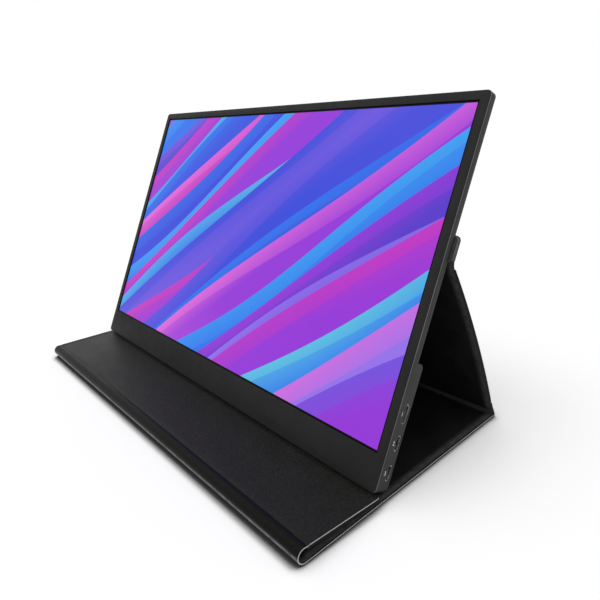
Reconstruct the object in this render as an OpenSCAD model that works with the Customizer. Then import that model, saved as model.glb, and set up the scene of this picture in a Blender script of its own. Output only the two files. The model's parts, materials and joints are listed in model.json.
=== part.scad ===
// A thin portable monitor held by a folding leather-grained cover that also props it up.
// Millimetres, +Z up, the screen faces -Y. The origin is under the middle, on the table.

/* [Screen] */
// Width of the lit area
lit_w = 344.2; // [320:0.1:360]
// Height of the lit area
lit_h = 193.6; // [184:0.1:204]
// Black border of the display inside the bezel opening
mask_w = 1.2; // [0.6:0.1:2]
// Glass of the display beyond the lit area, at the sides and the top
cell_edge = 3.1; // [2.4:0.1:4]
// Glass of the display below the lit area, where its connections are
cell_foot = 5.6; // [4:0.1:7]

/* [Monitor body] */
// Bezel beside the lit area
bezel_side = 6.9; // [6.4:0.1:10]
// Bezel above the lit area
bezel_top = 6.6; // [6.2:0.1:10]
// Chin below the lit area
chin_h = 22.1; // [20:0.1:27]
// Thickness of the bezel plate
bezel_t = 0.6; // [0.5:0.05:0.8]
// Step between the bezel plate's edge and the housing's rim
bezel_step = 0.25; // [0.1:0.05:0.4]
// Corner radius of the monitor, seen from the front
corner_r = 3; // [2.4:0.1:5]
// Thickness of the housing's back
shell_t = 1.0; // [0.8:0.05:1.4]
// Thickness of the housing's side walls
wall_t = 1.4; // [1.2:0.05:1.6]
// Rounding of the housing's back edges
edge_r = 1.2; // [0.6:0.1:1.3]
// Depth of the electronics box behind the thin part
box_d = 5.4; // [5.2:0.1:7]
// Top of the electronics box above the lower edge of the lit area
box_top = 51.5; // [51:0.5:60]
// Rounding of the box's upper edge
box_r = 3; // [2:0.1:3.6]
// Thickness of the ribs behind the chin
rib_t = 1; // [0.8:0.1:1.4]
// Distance from one rib to the next
rib_pitch = 50; // [40:1:54]

/* [Display layers] */
// Adhesive tape under the bezel
tape_t = 0.15; // [0.1:0.05:0.3]
// Liquid crystal cell with both glasses
cell_t = 1.2; // [0.9:0.05:1.4]
// Stack of optical films
film_t = 0.35; // [0.2:0.05:0.5]
// Light guide
guide_t = 0.6; // [0.4:0.05:0.8]
// Reflector sheet
mirror_t = 0.2; // [0.1:0.05:0.3]
// Steel of the panel tray
tray_t = 0.4; // [0.3:0.05:0.5]
// Tape that holds the tray to the housing
back_tape_t = 0.3; // [0.2:0.05:0.6]
// Height of the strip of lamps below the light guide
led_h = 2.8; // [2:0.1:3.4]
// Strip of lamps stops this far short of the glass at each end
led_in = 6; // [4:0.5:10]
// Width of a strip of the tape behind the tray
back_tape_w = 12; // [8:0.5:16]
// That tape stops this far short of the tray's upper edge and of the box
back_tape_in = 4; // [3:0.1:6]

/* [Cover] */
// Width of the cover, a little more than the monitor's
cover_w = 361; // [361:0.5:380]
// Thickness of the outer skin
skin_t = 0.6; // [0.4:0.05:0.8]
// Thickness of the board in the panels
board_t = 1.0; // [0.9:0.05:1.4]
// Thickness of the lining
lining_t = 0.6; // [0.4:0.05:0.8]
// Base panel from the front fold's centre to the rear fold's
base_l = 162.3; // [160:0.1:172]
// Flap from the front fold's centre to its free end
flap_l = 54.3; // [50:0.1:57]
// Outer radius of the rolled front fold
fold_r = 4.7; // [4.4:0.1:5.6]
// Boards stop this far from the centre of the front fold
fold_set = 2.5; // [2:0.1:4]
// Boards stop this far from the centre of a sharp fold
crease_set = 2.6; // [2.3:0.1:3.4]
// Corner radius of the flap and the tab
panel_r = 3; // [1:0.1:6]

/* [Stand] */
// Lean of the screen from upright
lean = 29.7; // [26:0.1:32]
// Height of the strut's crease up the monitor's back, from the lit area's lower edge
crease_y = 106.1; // [100:0.1:112]
// Depth of that crease behind the front face
crease_z = 9.2; // [9:0.1:9.6]
// Width of the spine's board at the strut's foot
spine_w = 7.6; // [5:0.1:10]
// Gap between the spine's board and the strut's board
spine_gap = 1.6; // [1:0.1:3]
// How far the strut bows outwards in the middle
bow = 2.4; // [1.5:0.1:2.8]
// Tab from the crease to its free edge
tab_l = 16.4; // [15:0.1:24]
// Thickness of the tab's board, which holds the magnets
tab_board_t = 2.6; // [2.4:0.05:3]
// Length of a magnet in the tab
magnet_l = 20; // [10:0.5:26]
// Width of a magnet in the tab
magnet_w = 7; // [5:0.1:8]
// Number of magnets in the tab
magnet_count = 8; // [4:1:10]
// Length of a magnet in the flap
flap_magnet_l = 18; // [8:0.5:24]
// Width of a magnet in the flap
flap_magnet_w = 5; // [4:0.1:8]
// Number of magnets in the flap
flap_magnet_count = 4; // [2:1:8]
// Distance from the flap's free end to its magnets
flap_magnet_in = 9; // [8:0.5:16]

/* [Ports] */
// Depth of the ports' centre line behind the front face
port_z = 7.6; // [7.5:0.05:7.7]
// Height of the upper port's centre above the lit area's lower edge
hdmi_y = 23.1; // [22:0.1:28]
// Height of the middle port's centre
usb_upper_y = 6.6; // [5:0.1:9]
// Height of the lower port's centre
usb_lower_y = -10.3; // [-11:0.1:-8]
// Width of a small round-ended socket over its metal shell
usb_w = 8.94; // [8.94:0.01:9]
// Height of that shell
usb_h = 3.16; // [3.1:0.01:3.2]
// Thickness of the shell's metal
usb_metal = 0.3; // [0.2:0.05:0.35]
// Length of the shell
usb_l = 7.3; // [6.8:0.1:9]
// Width of the flat-topped socket over its metal shell
hdmi_w = 11.0; // [10.8:0.1:11.4]
// Height of that shell
hdmi_h = 3.1; // [3:0.05:3.3]
// Length of that shell
hdmi_l = 8; // [7:0.1:10]
// Depth of the socket mouths below the side face
mouth_in = 0.3; // [0.1:0.05:0.6]
// Height of the headphone socket's centre
jack_y = -8; // [-12:0.1:-2]
// Depth of the headphone socket's centre behind the front face
jack_z = 7.0; // [6.9:0.05:7.05]
// Radius of the headphone socket's bore
jack_r = 1.8; // [1.8:0.01:1.82]
// Depth of the bore
jack_l = 14; // [13.5:0.1:15]
// Thinnest wall round the bore
jack_wall = 0.5; // [0.4:0.05:0.5]
// Wall beside the bore, up and down the side face
jack_side = 1.3; // [1:0.1:1.6]
// Lip of the socket's nose over that thinnest wall
jack_lip = 0.3; // [0.2:0.05:0.35]
// Thickness of a socket's closed back
socket_back = 0.8; // [0.6:0.05:1.2]
// Width of the tongue in a round-ended socket
usb_tongue_w = 6.7; // [6:0.1:7]
// Width of the tongue in the flat-topped socket
hdmi_tongue_w = 7.6; // [7:0.1:7.8]
// Thickness of both tongues
tongue_t = 0.7; // [0.6:0.05:0.8]
// Distance from a socket's mouth to its tongue
tongue_in = 1.2; // [0.8:0.1:2]

/* [Keys] */
// Height of the power button's centre
power_y = 38; // [34:0.1:40]
// Length of the power button
power_l = 9; // [7:0.1:11]
// Travel of the power button
power_travel = 0.5; // [0.3:0.05:0.5]
// Height of the menu rocker's centre
rocker_y = 17; // [12:0.1:19]
// Length of the menu rocker
rocker_l = 16; // [12:0.1:18]
// Width of the keys' circuit board
key_board_w = 18; // [16:0.5:24]
// Lower end of that board below the headphone socket's centre
key_board_foot = 6; // [5:0.5:7]
// Upper end of that board below the end of the box's straight wall
key_board_in = 1.5; // [1:0.1:3]
// Length and height of the body of a key's switch
switch_w = 4; // [3:0.1:4.4]
// Thickness of that body
switch_t = 1.8; // [1.4:0.1:2]
// How far the switches reach out past the board's edge
switch_over = 0.35; // [0.2:0.05:0.5]
// Height of both keys across the side face
key_h = 2.4; // [2:0.1:2.6]
// How far the keys stand out of the side face
key_out = 0.6; // [0.4:0.05:0.8]
// Flange that keeps a key behind the wall
key_flange = 0.9; // [0.6:0.05:1]
// Thickness of that flange
flange_t = 0.8; // [0.6:0.05:1]
// Room for the flange to move behind the wall
flange_room = 0.6; // [0.55:0.05:0.8]
// Gap between a key pressed in and its switch's body
switch_gap = 0.15; // [0.1:0.05:0.3]

/* [Electronics] */
// Inner edge of the main board, from the middle of the monitor
board_x = 92; // [88:0.5:120]
// Lower edge of the main board
board_y = -17; // [-18:0.5:-16]
// Height of the main board
board_h = 61; // [58:0.5:62]
// Thickness of the circuit boards
pcb_t = 0.8; // [0.6:0.05:0.8]
// Length of the panel's own board
panel_board_l = 230; // [160:1:300]
// Height of the panel's own board
panel_board_h = 12; // [8:0.5:16]
// Lower edge of the panel's own board
panel_board_y = -4; // [-5:0.1:-3]
// Width of the panel's flat cable
cable_w = 16; // [10:0.5:20]
// Thickness of the flat cables
cable_t = 0.3; // [0.2:0.05:0.4]
// Distance from the end of the panel's board to the middle of its cable
cable_in = 12; // [11:0.5:14]
// Height of the cable's socket on the panel's board
panel_plug_h = 4; // [3:0.1:4.5]
// Height of the cable's socket on the main board
main_plug_h = 6; // [4:0.1:6.5]
// Lower edge of that socket
main_plug_y = 16; // [15:0.1:17]
// Thickness of both sockets
plug_t = 1; // [0.8:0.05:1.1]
// Straight length of a cable next to a socket
cable_lead = 1; // [0.6:0.1:1.5]
// Width of the flat cable from the keys' board
key_cable_w = 6; // [4:0.1:7]
// Lower edge of that cable
key_cable_y = 2; // [1:0.1:3]
// Length of a speaker
speaker_l = 40; // [30:0.5:42]
// Height of a speaker
speaker_h = 12; // [8:0.5:14]
// Thickness of a speaker
speaker_t = 4.2; // [3:0.1:4.2]
// Middle of a speaker, from the middle of the monitor
speaker_x = 66; // [62:0.5:68]
// Gap between the housing's lower wall and a speaker
speaker_foot = 1.6; // [1:0.1:2]
// Slots in front of each speaker
slot_count = 9; // [5:1:11]
// Width of such a slot
slot_w = 1.2; // [0.8:0.1:1.6]
// Height of the main board over the floor of the box
board_seat = 1.4; // [1:0.1:1.4]
// Height of the keys' board over that floor
key_seat = 0.5; // [0.4:0.05:0.6]
// Gap between the main board's end and the side wall
board_gap = 0.8; // [0.4:0.1:1.2]
// Wall of the bosses that the boards are screwed to
boss_wall = 1.1; // [0.8:0.1:1.6]
// Length of a screw's shank in the main board's bosses
screw_l = 2.2; // [1.8:0.1:2.3]
// Length of a screw's shank in the low bosses of the keys' board
key_screw_l = 1.6; // [1.4:0.1:1.7]
// Distance from the edges of a board to the middle of a screw
screw_in = 4; // [3.5:0.1:4.5]
// Radius of a screw's shank
screw_r = 0.75; // [0.6:0.05:0.9]
// Radius of a screw's head
screw_head_r = 1.7; // [1.4:0.05:2]
// Height of a screw's head
screw_head_t = 0.7; // [0.5:0.05:1]

/* [Clearances] */
// Gap between pieces that rest on each other at a fold
rest_gap = 0.3; // [0.2:0.05:0.5]
// Gap between the flap's end and the monitor's lower face, which it stops
stop_gap = 0.35; // [0.3:0.05:0.6]
// Gap between the tab and the monitor's back
magnet_gap = 0.1; // [0.05:0.05:0.2]
// Gap round a piece that sits in a pocket
pocket_gap = 0.2; // [0.1:0.05:0.3]
// Gap between neighbouring layers and boards inside
layer_gap = 0.05; // [0.02:0.01:0.1]
// Gap round a key in its hole
key_gap = 0.3; // [0.25:0.05:0.4]

/* [Hidden] */

// Holes are cut this far past the faces
cut = 0.5;

// Cover thicknesses
cover_t = skin_t + board_t + lining_t;
strip_t = skin_t + lining_t;
half_t = cover_t / 2;

// Monitor outline, in the monitor's own frame: x to the right, y up the screen, z out of it
body_w = lit_w + 2 * bezel_side;
body_top = lit_h + bezel_top;
body_h = chin_h + body_top;
side_x = body_w / 2;

// Display layers from the front face back
cell_front = bezel_t + tape_t;
film_front = cell_front + cell_t + layer_gap;
guide_front = film_front + film_t + layer_gap;
mirror_front = guide_front + guide_t + layer_gap;
tray_front = mirror_front + mirror_t + layer_gap;
tray_back = tray_front + tray_t;
inner_back = tray_back + back_tape_t;
thin_t = inner_back + shell_t;
body_t = thin_t + box_d;
box_inner = body_t - shell_t;
cell_x = lit_w / 2 + cell_edge;
cell_top = lit_h + cell_edge;
tray_x = cell_x + 2 * pocket_gap + tray_t;
tray_top = cell_top + 2 * pocket_gap + tray_t;
led_top = -cell_foot - pocket_gap;
tray_foot = led_top - led_h - pocket_gap - tray_t;
rim_y = -chin_h + wall_t;

// The flap's tilt: its lining's end lies on the base's lining
flap_in_r = fold_r - cover_t;
flap_reach = sqrt(flap_l * flap_l + flap_in_r * flap_in_r);
flap_tilt = atan2(flap_in_r, flap_l) - asin((cover_t + rest_gap - fold_r) / flap_reach);
flap_end_y = flap_l * cos(flap_tilt) + fold_r * sin(flap_tilt);
flap_end_z = fold_r - flap_l * sin(flap_tilt) + fold_r * cos(flap_tilt);

// The monitor stands on the base, with its lower face against the flap's end
foot_z = cover_t + rest_gap - edge_r * (cos(lean) + sin(lean) - 1);
foot_y = flap_end_y + (flap_end_z + stop_gap / cos(lean) - foot_z) / tan(lean);
screen_y = foot_y + chin_h * sin(lean) - body_t * cos(lean);
screen_z = foot_z + chin_h * cos(lean) + body_t * sin(lean);

// A point of the monitor's own frame in the folio's side view
function side_y(y, z) = screen_y + y * sin(lean) - z * cos(lean);
function side_z(y, z) = screen_z + y * cos(lean) + z * sin(lean);

// The strut runs from the rear fold to the crease
crease_at_y = side_y(crease_y, -crease_z);
crease_at_z = side_z(crease_y, -crease_z);
strut_l = norm([base_l - crease_at_y, crease_at_z - half_t]);
strut_angle = atan2(crease_at_z - half_t, base_l - crease_at_y);
bow_start = crease_set + spine_w + spine_gap;

// The origin lies midway between the front fold and the rearmost edge
rear_y = max(side_y(body_top - edge_r, edge_r - thin_t) + edge_r, base_l + half_t);
origin_y = (rear_y - fold_r) / 2;

echo(origin_y = origin_y, strut_l = strut_l, strut_angle = strut_angle, flap_tilt = flap_tilt);
echo(rear_fold_at = [0, base_l - origin_y, half_t]);
echo(crease_at = [0, crease_at_y - origin_y, crease_at_z]);
echo(front_fold_at = [0, -origin_y, fold_r]);
echo(screen_at = [0, screen_y - origin_y, screen_z], body = [body_w, body_h, body_t]);

// Places and outlines that several pieces share

// A flat outline in a side view, drawn out across the width
module across(w) {
    rotate([90, 0, 90])
        linear_extrude(w, center = true)
            children();
}

// The folio's side view starts at the front fold's centre line, on the table
module in_folio() {
    translate([0, -origin_y, 0])
        children();
}

module in_flap() {
    in_folio()
        translate([0, 0, fold_r])
            rotate([-flap_tilt, 0, 0])
                children();
}

// Along the strut: y from the rear fold to the crease, z towards the monitor
module in_strut() {
    in_folio()
        translate([0, base_l, half_t])
            rotate([180 - strut_angle, 0, 0])
                children();
}

module in_monitor() {
    in_folio()
        translate([0, screen_y, screen_z])
            rotate([90 - lean, 0, 0])
                children();
}

function arc(cy, cz, r, from, to, steps = 8) = [
    for (i = [0:steps])
        let (a = from + (to - from) * i / steps)
            [cy + r * cos(a), cz + r * sin(a)]
];

// A step of one in some direction of a side view
function toward(a) = [cos(a), sin(a)];

// A panel's outline with its two far corners rounded
module panel_shape(w, y0, y1, r) {
    translate([-w / 2, y0])
        square([w, y1 - y0 - r]);
    translate([-w / 2 + r, y0])
        square([w - 2 * r, y1 - y0]);
    for (s = [-1, 1])
        translate([s * (w / 2 - r), y1 - r])
            circle(r, $fn = 48);
}

module panel(w, y0, y1, z0, t, r) {
    translate([0, 0, z0])
        linear_extrude(t)
            panel_shape(w, y0, y1, r);
}

module round_box_shape(x, y0, y1, r) {
    translate([-x, y0 + r])
        square([2 * x, y1 - y0 - 2 * r]);
    translate([-x + r, y0])
        square([2 * x - 2 * r, y1 - y0]);
    for (s = [-1, 1])
        for (y = [y0 + r, y1 - r])
            translate([s * (x - r), y])
                circle(r, $fn = 48);
}

// The monitor's outline, drawn in by some amount
module body_shape(inset = 0) {
    round_box_shape(side_x - inset, -chin_h + inset, body_top - inset, corner_r - inset);
}

// A layer of the display between two depths behind the front face
module layer(x, y0, y1, front, back) {
    translate([-x, y0, -back])
        cube([2 * x, y1 - y0, back - front]);
}

module pill_shape(l, h) {
    square([l - h, h], center = true);
    for (s = [-1, 1])
        translate([s * (l - h) / 2, 0])
            circle(h / 2, $fn = 40);
}

// A pill drawn out along x between two places, at a height and depth on a side face
module side_pill(x0, x1, y, z, l, h) {
    translate([x0, y, -z])
        rotate([90, 0, 90])
            linear_extrude(x1 - x0)
                pill_shape(l, h);
}

// Cover: base panel

module base_layer(z0, t) {
    in_folio()
        translate([-cover_w / 2, fold_set, z0])
            cube([cover_w, base_l - crease_set - fold_set, t]);
}

module base_skin() {
    color("#1b1b1d")
        base_layer(0, skin_t);
}

module base_board() {
    color("#8a8a8c")
        base_layer(skin_t, board_t);
}

module base_lining() {
    color("#0d0d0f")
        base_layer(skin_t + board_t, lining_t);
}

// The rolled fold goes round the front, from under the base panel to the top of the flap
module front_fold() {
    inner_r = fold_r - strip_t;
    upper = 90 - flap_tilt;
    end_at = [0, fold_r] + fold_set * toward(-flap_tilt);
    color("#1b1b1d")
        in_folio()
            across(cover_w)
                polygon(concat(
                    [[fold_set, strip_t], [fold_set, 0]],
                    arc(0, fold_r, fold_r, 270, upper, 24),
                    [end_at + fold_r * toward(upper), end_at + inner_r * toward(upper)],
                    arc(0, fold_r, inner_r, upper, 270, 24)
                ));
}

// Cover: flap

flap_magnet_pitch = cover_w / (flap_magnet_count + 1);

module each_flap_magnet() {
    for (i = [1:flap_magnet_count])
        translate([-cover_w / 2 + i * flap_magnet_pitch, flap_l - flap_magnet_in, 0])
            children();
}

module flap_skin() {
    color("#1d1d1f")
        in_flap()
            panel(cover_w, fold_set, flap_l, fold_r - skin_t, skin_t, panel_r);
}

module flap_board() {
    pocket = [flap_magnet_l + 2 * pocket_gap, flap_magnet_w + 2 * pocket_gap, 3 * board_t];
    color("#8a8a8c")
        in_flap()
            difference() {
                panel(cover_w, fold_set, flap_l, flap_in_r + lining_t, board_t, panel_r);
                each_flap_magnet()
                    translate([0, 0, flap_in_r + lining_t + board_t / 2])
                        cube(pocket, center = true);
            }
}

module flap_lining() {
    color("#0d0d0f")
        in_flap()
            panel(cover_w, fold_set, flap_l, flap_in_r, lining_t, panel_r);
}

module flap_magnets() {
    color("#a9abb0")
        in_flap()
            each_flap_magnet()
                translate([0, 0, flap_in_r + lining_t + board_t / 2])
                    cube([flap_magnet_l, flap_magnet_w, board_t - layer_gap], center = true);
}

// Cover: rear fold, spine and strut

// The bent strip at the rear corner, round on the outside
module rear_fold() {
    inner = strip_t - half_t;
    along = [-cos(strut_angle), sin(strut_angle)];
    outwards = [sin(strut_angle), cos(strut_angle)];
    color("#1b1b1d")
        in_folio()
            across(cover_w)
                translate([base_l, half_t])
                    polygon(concat(
                        [[-crease_set, inner], [-crease_set, -half_t]],
                        arc(0, 0, half_t, -90, 90 - strut_angle),
                        [
                            crease_set * along + half_t * outwards,
                            crease_set * along - inner * outwards,
                            [-inner / tan(strut_angle / 2), inner]
                        ]
                    ));
}

// The strut is flat up to the spine's crease and then bows outwards
function bow_at(y) =
    let (u = max(0, (y - bow_start) / (strut_l - bow_start)))
        4 * bow * u * (1 - u);

// A layer of the strut between two depths from its middle, outwards negative
module strut_layer(y0, y1, z0, z1) {
    steps = 20;
    ys = [for (i = [0:steps]) y0 + (y1 - y0) * i / steps];
    in_strut()
        across(cover_w)
            polygon(concat(
                [for (y = ys) [y, z0 - bow_at(y)]],
                [for (i = [steps:-1:0]) [ys[i], z1 - bow_at(ys[i])]]
            ));
}

module spine_board() {
    color("#8a8a8c")
        in_strut()
            translate([-cover_w / 2, crease_set, -half_t + skin_t])
                cube([cover_w, spine_w, board_t]);
}

// Skin and lining meet in the gap between the two boards, where the spine's crease is pressed
module strut_skin() {
    color("#1b1b1d") {
        strut_layer(crease_set, bow_start, -half_t, -half_t + skin_t);
        strut_layer(bow_start, strut_l - crease_set, -half_t, -half_t + skin_t);
    }
}

module strut_board() {
    color("#8a8a8c")
        strut_layer(bow_start, strut_l - crease_set, -half_t + skin_t, half_t - lining_t);
}

module strut_lining() {
    color("#0d0d0f") {
        strut_layer(crease_set, bow_start, half_t - lining_t, half_t);
        strut_layer(bow_start, strut_l - crease_set, half_t - lining_t, half_t);
    }
}

// Cover: crease and tab behind the monitor

tab_front = thin_t + magnet_gap;
tab_board_front = tab_front + lining_t;
tab_skin_front = tab_board_front + tab_board_t;
tab_back = tab_skin_front + skin_t;
tab_y0 = crease_y + crease_set;
tab_y1 = crease_y + tab_l;
magnet_pitch = cover_w / magnet_count;

// A thin strip bends from the strut's end to the outer layers of the tab
module tab_crease() {
    h = strip_t / 2;
    at = [crease_y, -crease_z];
    to_strut = lean - 90 - strut_angle;
    strut_end = at + crease_set * toward(to_strut);
    strut_side = to_strut + 270;
    tab_side = 90 + atan2(crease_z - tab_back + h, crease_set);
    corner = at - h / cos((strut_side - tab_side) / 2) * toward((strut_side + tab_side) / 2);
    color("#1b1b1d")
        in_monitor()
            across(cover_w)
                polygon(concat(
                    [strut_end - h * toward(strut_side), corner],
                    [[tab_y0, -tab_back], [tab_y0, -tab_back + strip_t]],
                    arc(crease_y, -crease_z, h, tab_side, strut_side, 6),
                    [strut_end + h * toward(strut_side)]
                ));
}

module tab_layer(front, back) {
    in_monitor()
        panel(cover_w, tab_y0, tab_y1, -back, back - front, panel_r);
}

module each_magnet() {
    for (i = [0:magnet_count - 1])
        translate([
            (i - (magnet_count - 1) / 2) * magnet_pitch,
            (tab_y0 + tab_y1) / 2,
            -(tab_board_front + tab_skin_front) / 2
        ])
            children();
}

module tab_skin() {
    color("#1b1b1d")
        tab_layer(tab_skin_front, tab_back);
}

module tab_board() {
    pocket = [magnet_l + 2 * pocket_gap, magnet_w + 2 * pocket_gap, 2 * tab_board_t];
    color("#8a8a8c")
        difference() {
            tab_layer(tab_board_front, tab_skin_front);
            in_monitor()
                each_magnet()
                    cube(pocket, center = true);
        }
}

module tab_lining() {
    color("#0d0d0f")
        tab_layer(tab_front, tab_board_front);
}

module tab_magnets() {
    color("#a9abb0")
        in_monitor()
            each_magnet()
                cube([magnet_l, magnet_w, tab_board_t - 2 * layer_gap], center = true);
}

// Monitor: casing

// Side view of the housing, with the box of electronics at its foot
module housing_side() {
    polygon(concat(
        [[-chin_h, -bezel_t], [body_top, -bezel_t]],
        arc(body_top - edge_r, edge_r - thin_t, edge_r, 0, -90),
        [[box_top, -thin_t]],
        arc(box_top - box_r, box_r - body_t, box_r, 0, -90),
        arc(edge_r - chin_h, edge_r - body_t, edge_r, -90, -180)
    ));
}

boss_r = screw_r + boss_wall;

board_back = box_inner - board_seat;
board_front = board_back - pcb_t;
board_end = side_x - wall_t - board_gap;
key_board_back = box_inner - key_seat;
key_board_front = key_board_back - pcb_t;
flange_x = side_x - wall_t - flange_room;
flange_back_x = flange_x - flange_t;
switch_x = flange_back_x - power_travel - switch_gap;
key_board_x = switch_x - switch_over;
key_board_y0 = jack_y - key_board_foot;
key_board_y1 = box_top - box_r - key_board_in;
jack_body = [
    jack_l + mouth_in - wall_t + jack_wall,
    2 * (jack_r + jack_side),
    2 * (jack_r + jack_wall)
];
jack_nose_r = jack_r + jack_wall + jack_lip;

// The main board's outer screws stand clear of the sockets
main_screw_places = [
    for (x = [board_x + screw_in, board_end - hdmi_l - screw_in])
        for (y = [board_y + screw_in, board_y + board_h - screw_in])
            [x, y]
];
key_screw_places = [
    for (y = [key_board_y1 - screw_in, (power_y + rocker_y) / 2 + 1])
        [-key_board_x + key_board_w - screw_in, y]
];

module boss(place, seat) {
    translate([place[0], place[1], -box_inner - shell_t / 2])
        cylinder(h = seat + shell_t / 2, r = boss_r, $fn = 40);
}

module boss_bore(place, seat) {
    translate([place[0], place[1], -box_inner - cut])
        cylinder(h = seat + 2 * cut, r = screw_r + layer_gap, $fn = 40);
}

module hdmi_shape(grow = 0) {
    w = hdmi_w / 2 + grow;
    h = hdmi_h / 2 + grow;
    polygon([
        [-w, h], [-w, -h * 0.1], [-w + h * 0.8, -h],
        [w - h * 0.8, -h], [w, -h * 0.1], [w, h]
    ]);
}

module hdmi_run(x0, x1, grow = 0) {
    translate([x0, hdmi_y, -port_z])
        rotate([90, 0, 90])
            linear_extrude(x1 - x0)
                hdmi_shape(grow);
}

slot_pitch = speaker_l / (slot_count + 1);
speaker_y = rim_y + speaker_foot + speaker_h / 2;

module rear_housing() {
    in_x = side_x - wall_t;
    color("#3f4042")
        in_monitor()
            difference() {
                union() {
                    difference() {
                        intersection() {
                            across(body_w)
                                housing_side();
                            translate([0, 0, -2 * body_t])
                                linear_extrude(2 * body_t)
                                    body_shape();
                        }
                        translate([0, 0, -inner_back])
                            linear_extrude(inner_back)
                                body_shape(wall_t);
                        translate([0, 0, -box_inner])
                            linear_extrude(box_inner)
                                round_box_shape(in_x, rim_y, box_top - box_r, corner_r - wall_t);
                    }
                    for (place = main_screw_places)
                        boss(place, board_seat);
                    for (place = key_screw_places)
                        boss(place, key_seat);
                    chin_ribs();
                }
                for (place = main_screw_places)
                    boss_bore(place, board_seat);
                for (place = key_screw_places)
                    boss_bore(place, key_seat);
                port_holes();
                key_holes();
                speaker_slots();
            }
}

// Short ribs on the lower wall carry the bezel's chin
module chin_ribs() {
    rib_l = tray_foot - 1 - rim_y + wall_t / 2;
    for (x = [-3 * rib_pitch:rib_pitch:3 * rib_pitch])
        translate([x - rib_t / 2, rim_y - wall_t / 2, -inner_back])
            cube([rib_t, rib_l, inner_back - cell_front]);
}

// Holes through the right wall, with a little room round each socket
module port_holes() {
    from = side_x - wall_t - cut;
    to = side_x + cut;
    for (y = [usb_upper_y, usb_lower_y])
        side_pill(from, to, y, port_z, usb_w + 2 * pocket_gap, usb_h + 2 * pocket_gap);
    hdmi_run(from, to, pocket_gap);
}

// Holes through the left wall for the keys and the headphone socket
module key_holes() {
    from = -side_x - cut;
    to = -side_x + wall_t + cut;
    for (key = [[power_y, power_l], [rocker_y, rocker_l]])
        side_pill(from, to, key[0], port_z, key[1] + 2 * key_gap, key_h + 2 * key_gap);
    translate([from, jack_y, -jack_z])
        rotate([0, 90, 0])
            cylinder(h = to - from, r = jack_nose_r + pocket_gap, $fn = 48);
}

module speaker_slots() {
    for (s = [-1, 1])
        for (i = [1:slot_count])
            translate([s * speaker_x - speaker_l / 2 + i * slot_pitch, speaker_y, -body_t - cut])
                rotate([0, 0, 90])
                    linear_extrude(shell_t + 2 * cut)
                        pill_shape(speaker_h * 0.6, slot_w);
}

module front_bezel() {
    opening_x = lit_w / 2 + mask_w;
    color("#303032")
        in_monitor()
            difference() {
                translate([0, 0, -bezel_t])
                    linear_extrude(bezel_t)
                        body_shape(bezel_step);
                translate([-opening_x, -mask_w, -2 * bezel_t])
                    cube([2 * opening_x, lit_h + 2 * mask_w, 4 * bezel_t]);
            }
}

// Monitor: display

module bezel_tape() {
    tape_in = 0.5;
    opening_x = lit_w / 2 + mask_w + tape_in;
    color("#151515")
        in_monitor()
            difference() {
                layer(cell_x, -cell_foot, cell_top, bezel_t, cell_front);
                layer(opening_x, -mask_w - tape_in, lit_h + mask_w + tape_in, 0, 2 * cell_front);
            }
}

module display_cell() {
    color("#4a3fc8")
        in_monitor()
            layer(cell_x, -cell_foot, cell_top, cell_front, cell_front + cell_t);
}

module film_stack() {
    color("#e4e6ea")
        in_monitor()
            layer(cell_x, -cell_foot, cell_top, film_front, film_front + film_t);
}

module light_guide() {
    color("#d5dde2")
        in_monitor()
            layer(cell_x, -cell_foot, cell_top, guide_front, guide_front + guide_t);
}

module reflector_sheet() {
    color("#f2f2f2")
        in_monitor()
            layer(cell_x, -cell_foot, cell_top, mirror_front, mirror_front + mirror_t);
}

module led_bar() {
    color("#e8e2c0")
        in_monitor()
            layer(cell_x - led_in, led_top - led_h, led_top, film_front, tray_front - layer_gap);
}

// Pressed steel tray with a low wall all round, which the tab's magnets pull on
module panel_tray() {
    color("#9a9da1")
        in_monitor()
            difference() {
                layer(tray_x, tray_foot, tray_top, cell_front + pocket_gap, tray_back);
                layer(tray_x - tray_t, tray_foot + tray_t, tray_top - tray_t, 0, tray_front);
            }
}

// Strips of tape between the tray and the housing's thin back
module tray_tape() {
    strip = [back_tape_w, tray_top - box_top - 2 * back_tape_in, back_tape_t];
    side = tray_x - back_tape_in;
    color("#1e1e1e")
        in_monitor()
            for (x = [-side, -back_tape_w / 2, side - back_tape_w])
                translate([x, box_top + back_tape_in, -inner_back])
                    cube(strip);
}

// Monitor: electronics

cable_x = panel_board_l / 2 - cable_in;
plug_w = cable_w + 4;
panel_plug_y = panel_board_y + 1;

module panel_board() {
    board_back = -tray_back - layer_gap - pcb_t;
    color("#1d5a3a")
        in_monitor() {
            translate([-panel_board_l / 2, panel_board_y, board_back])
                cube([panel_board_l, panel_board_h, pcb_t]);
            translate([cable_x - plug_w / 2, panel_plug_y, board_back - plug_t])
                cube([plug_w, panel_plug_h, plug_t]);
        }
}

// Flat cable from the main board up to the panel's board
module panel_cable() {
    high = -tray_back - pcb_t - plug_t - 2 * layer_gap;
    low = -board_front + plug_t + layer_gap;
    bend_y0 = panel_plug_y + panel_plug_h + cable_lead;
    bend_y1 = main_plug_y - cable_lead;
    end_y = main_plug_y + main_plug_h;
    color("#c9a15a")
        in_monitor()
            translate([cable_x, 0, 0])
                across(cable_w)
                    polygon([
                        [panel_plug_y, high - cable_t], [bend_y0, high - cable_t],
                        [bend_y1, low], [end_y, low], [end_y, low + cable_t],
                        [bend_y1 + cable_t, low + cable_t], [bend_y0, high], [panel_plug_y, high]
                    ]);
}

// Cuts a notch for a socket into the main board's outer end
module board_notch(y, w, l) {
    translate([board_end - l, y - w / 2 - pocket_gap, -board_back - cut])
        cube([l + 1, w + 2 * pocket_gap, pcb_t + 2 * cut]);
}

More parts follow.
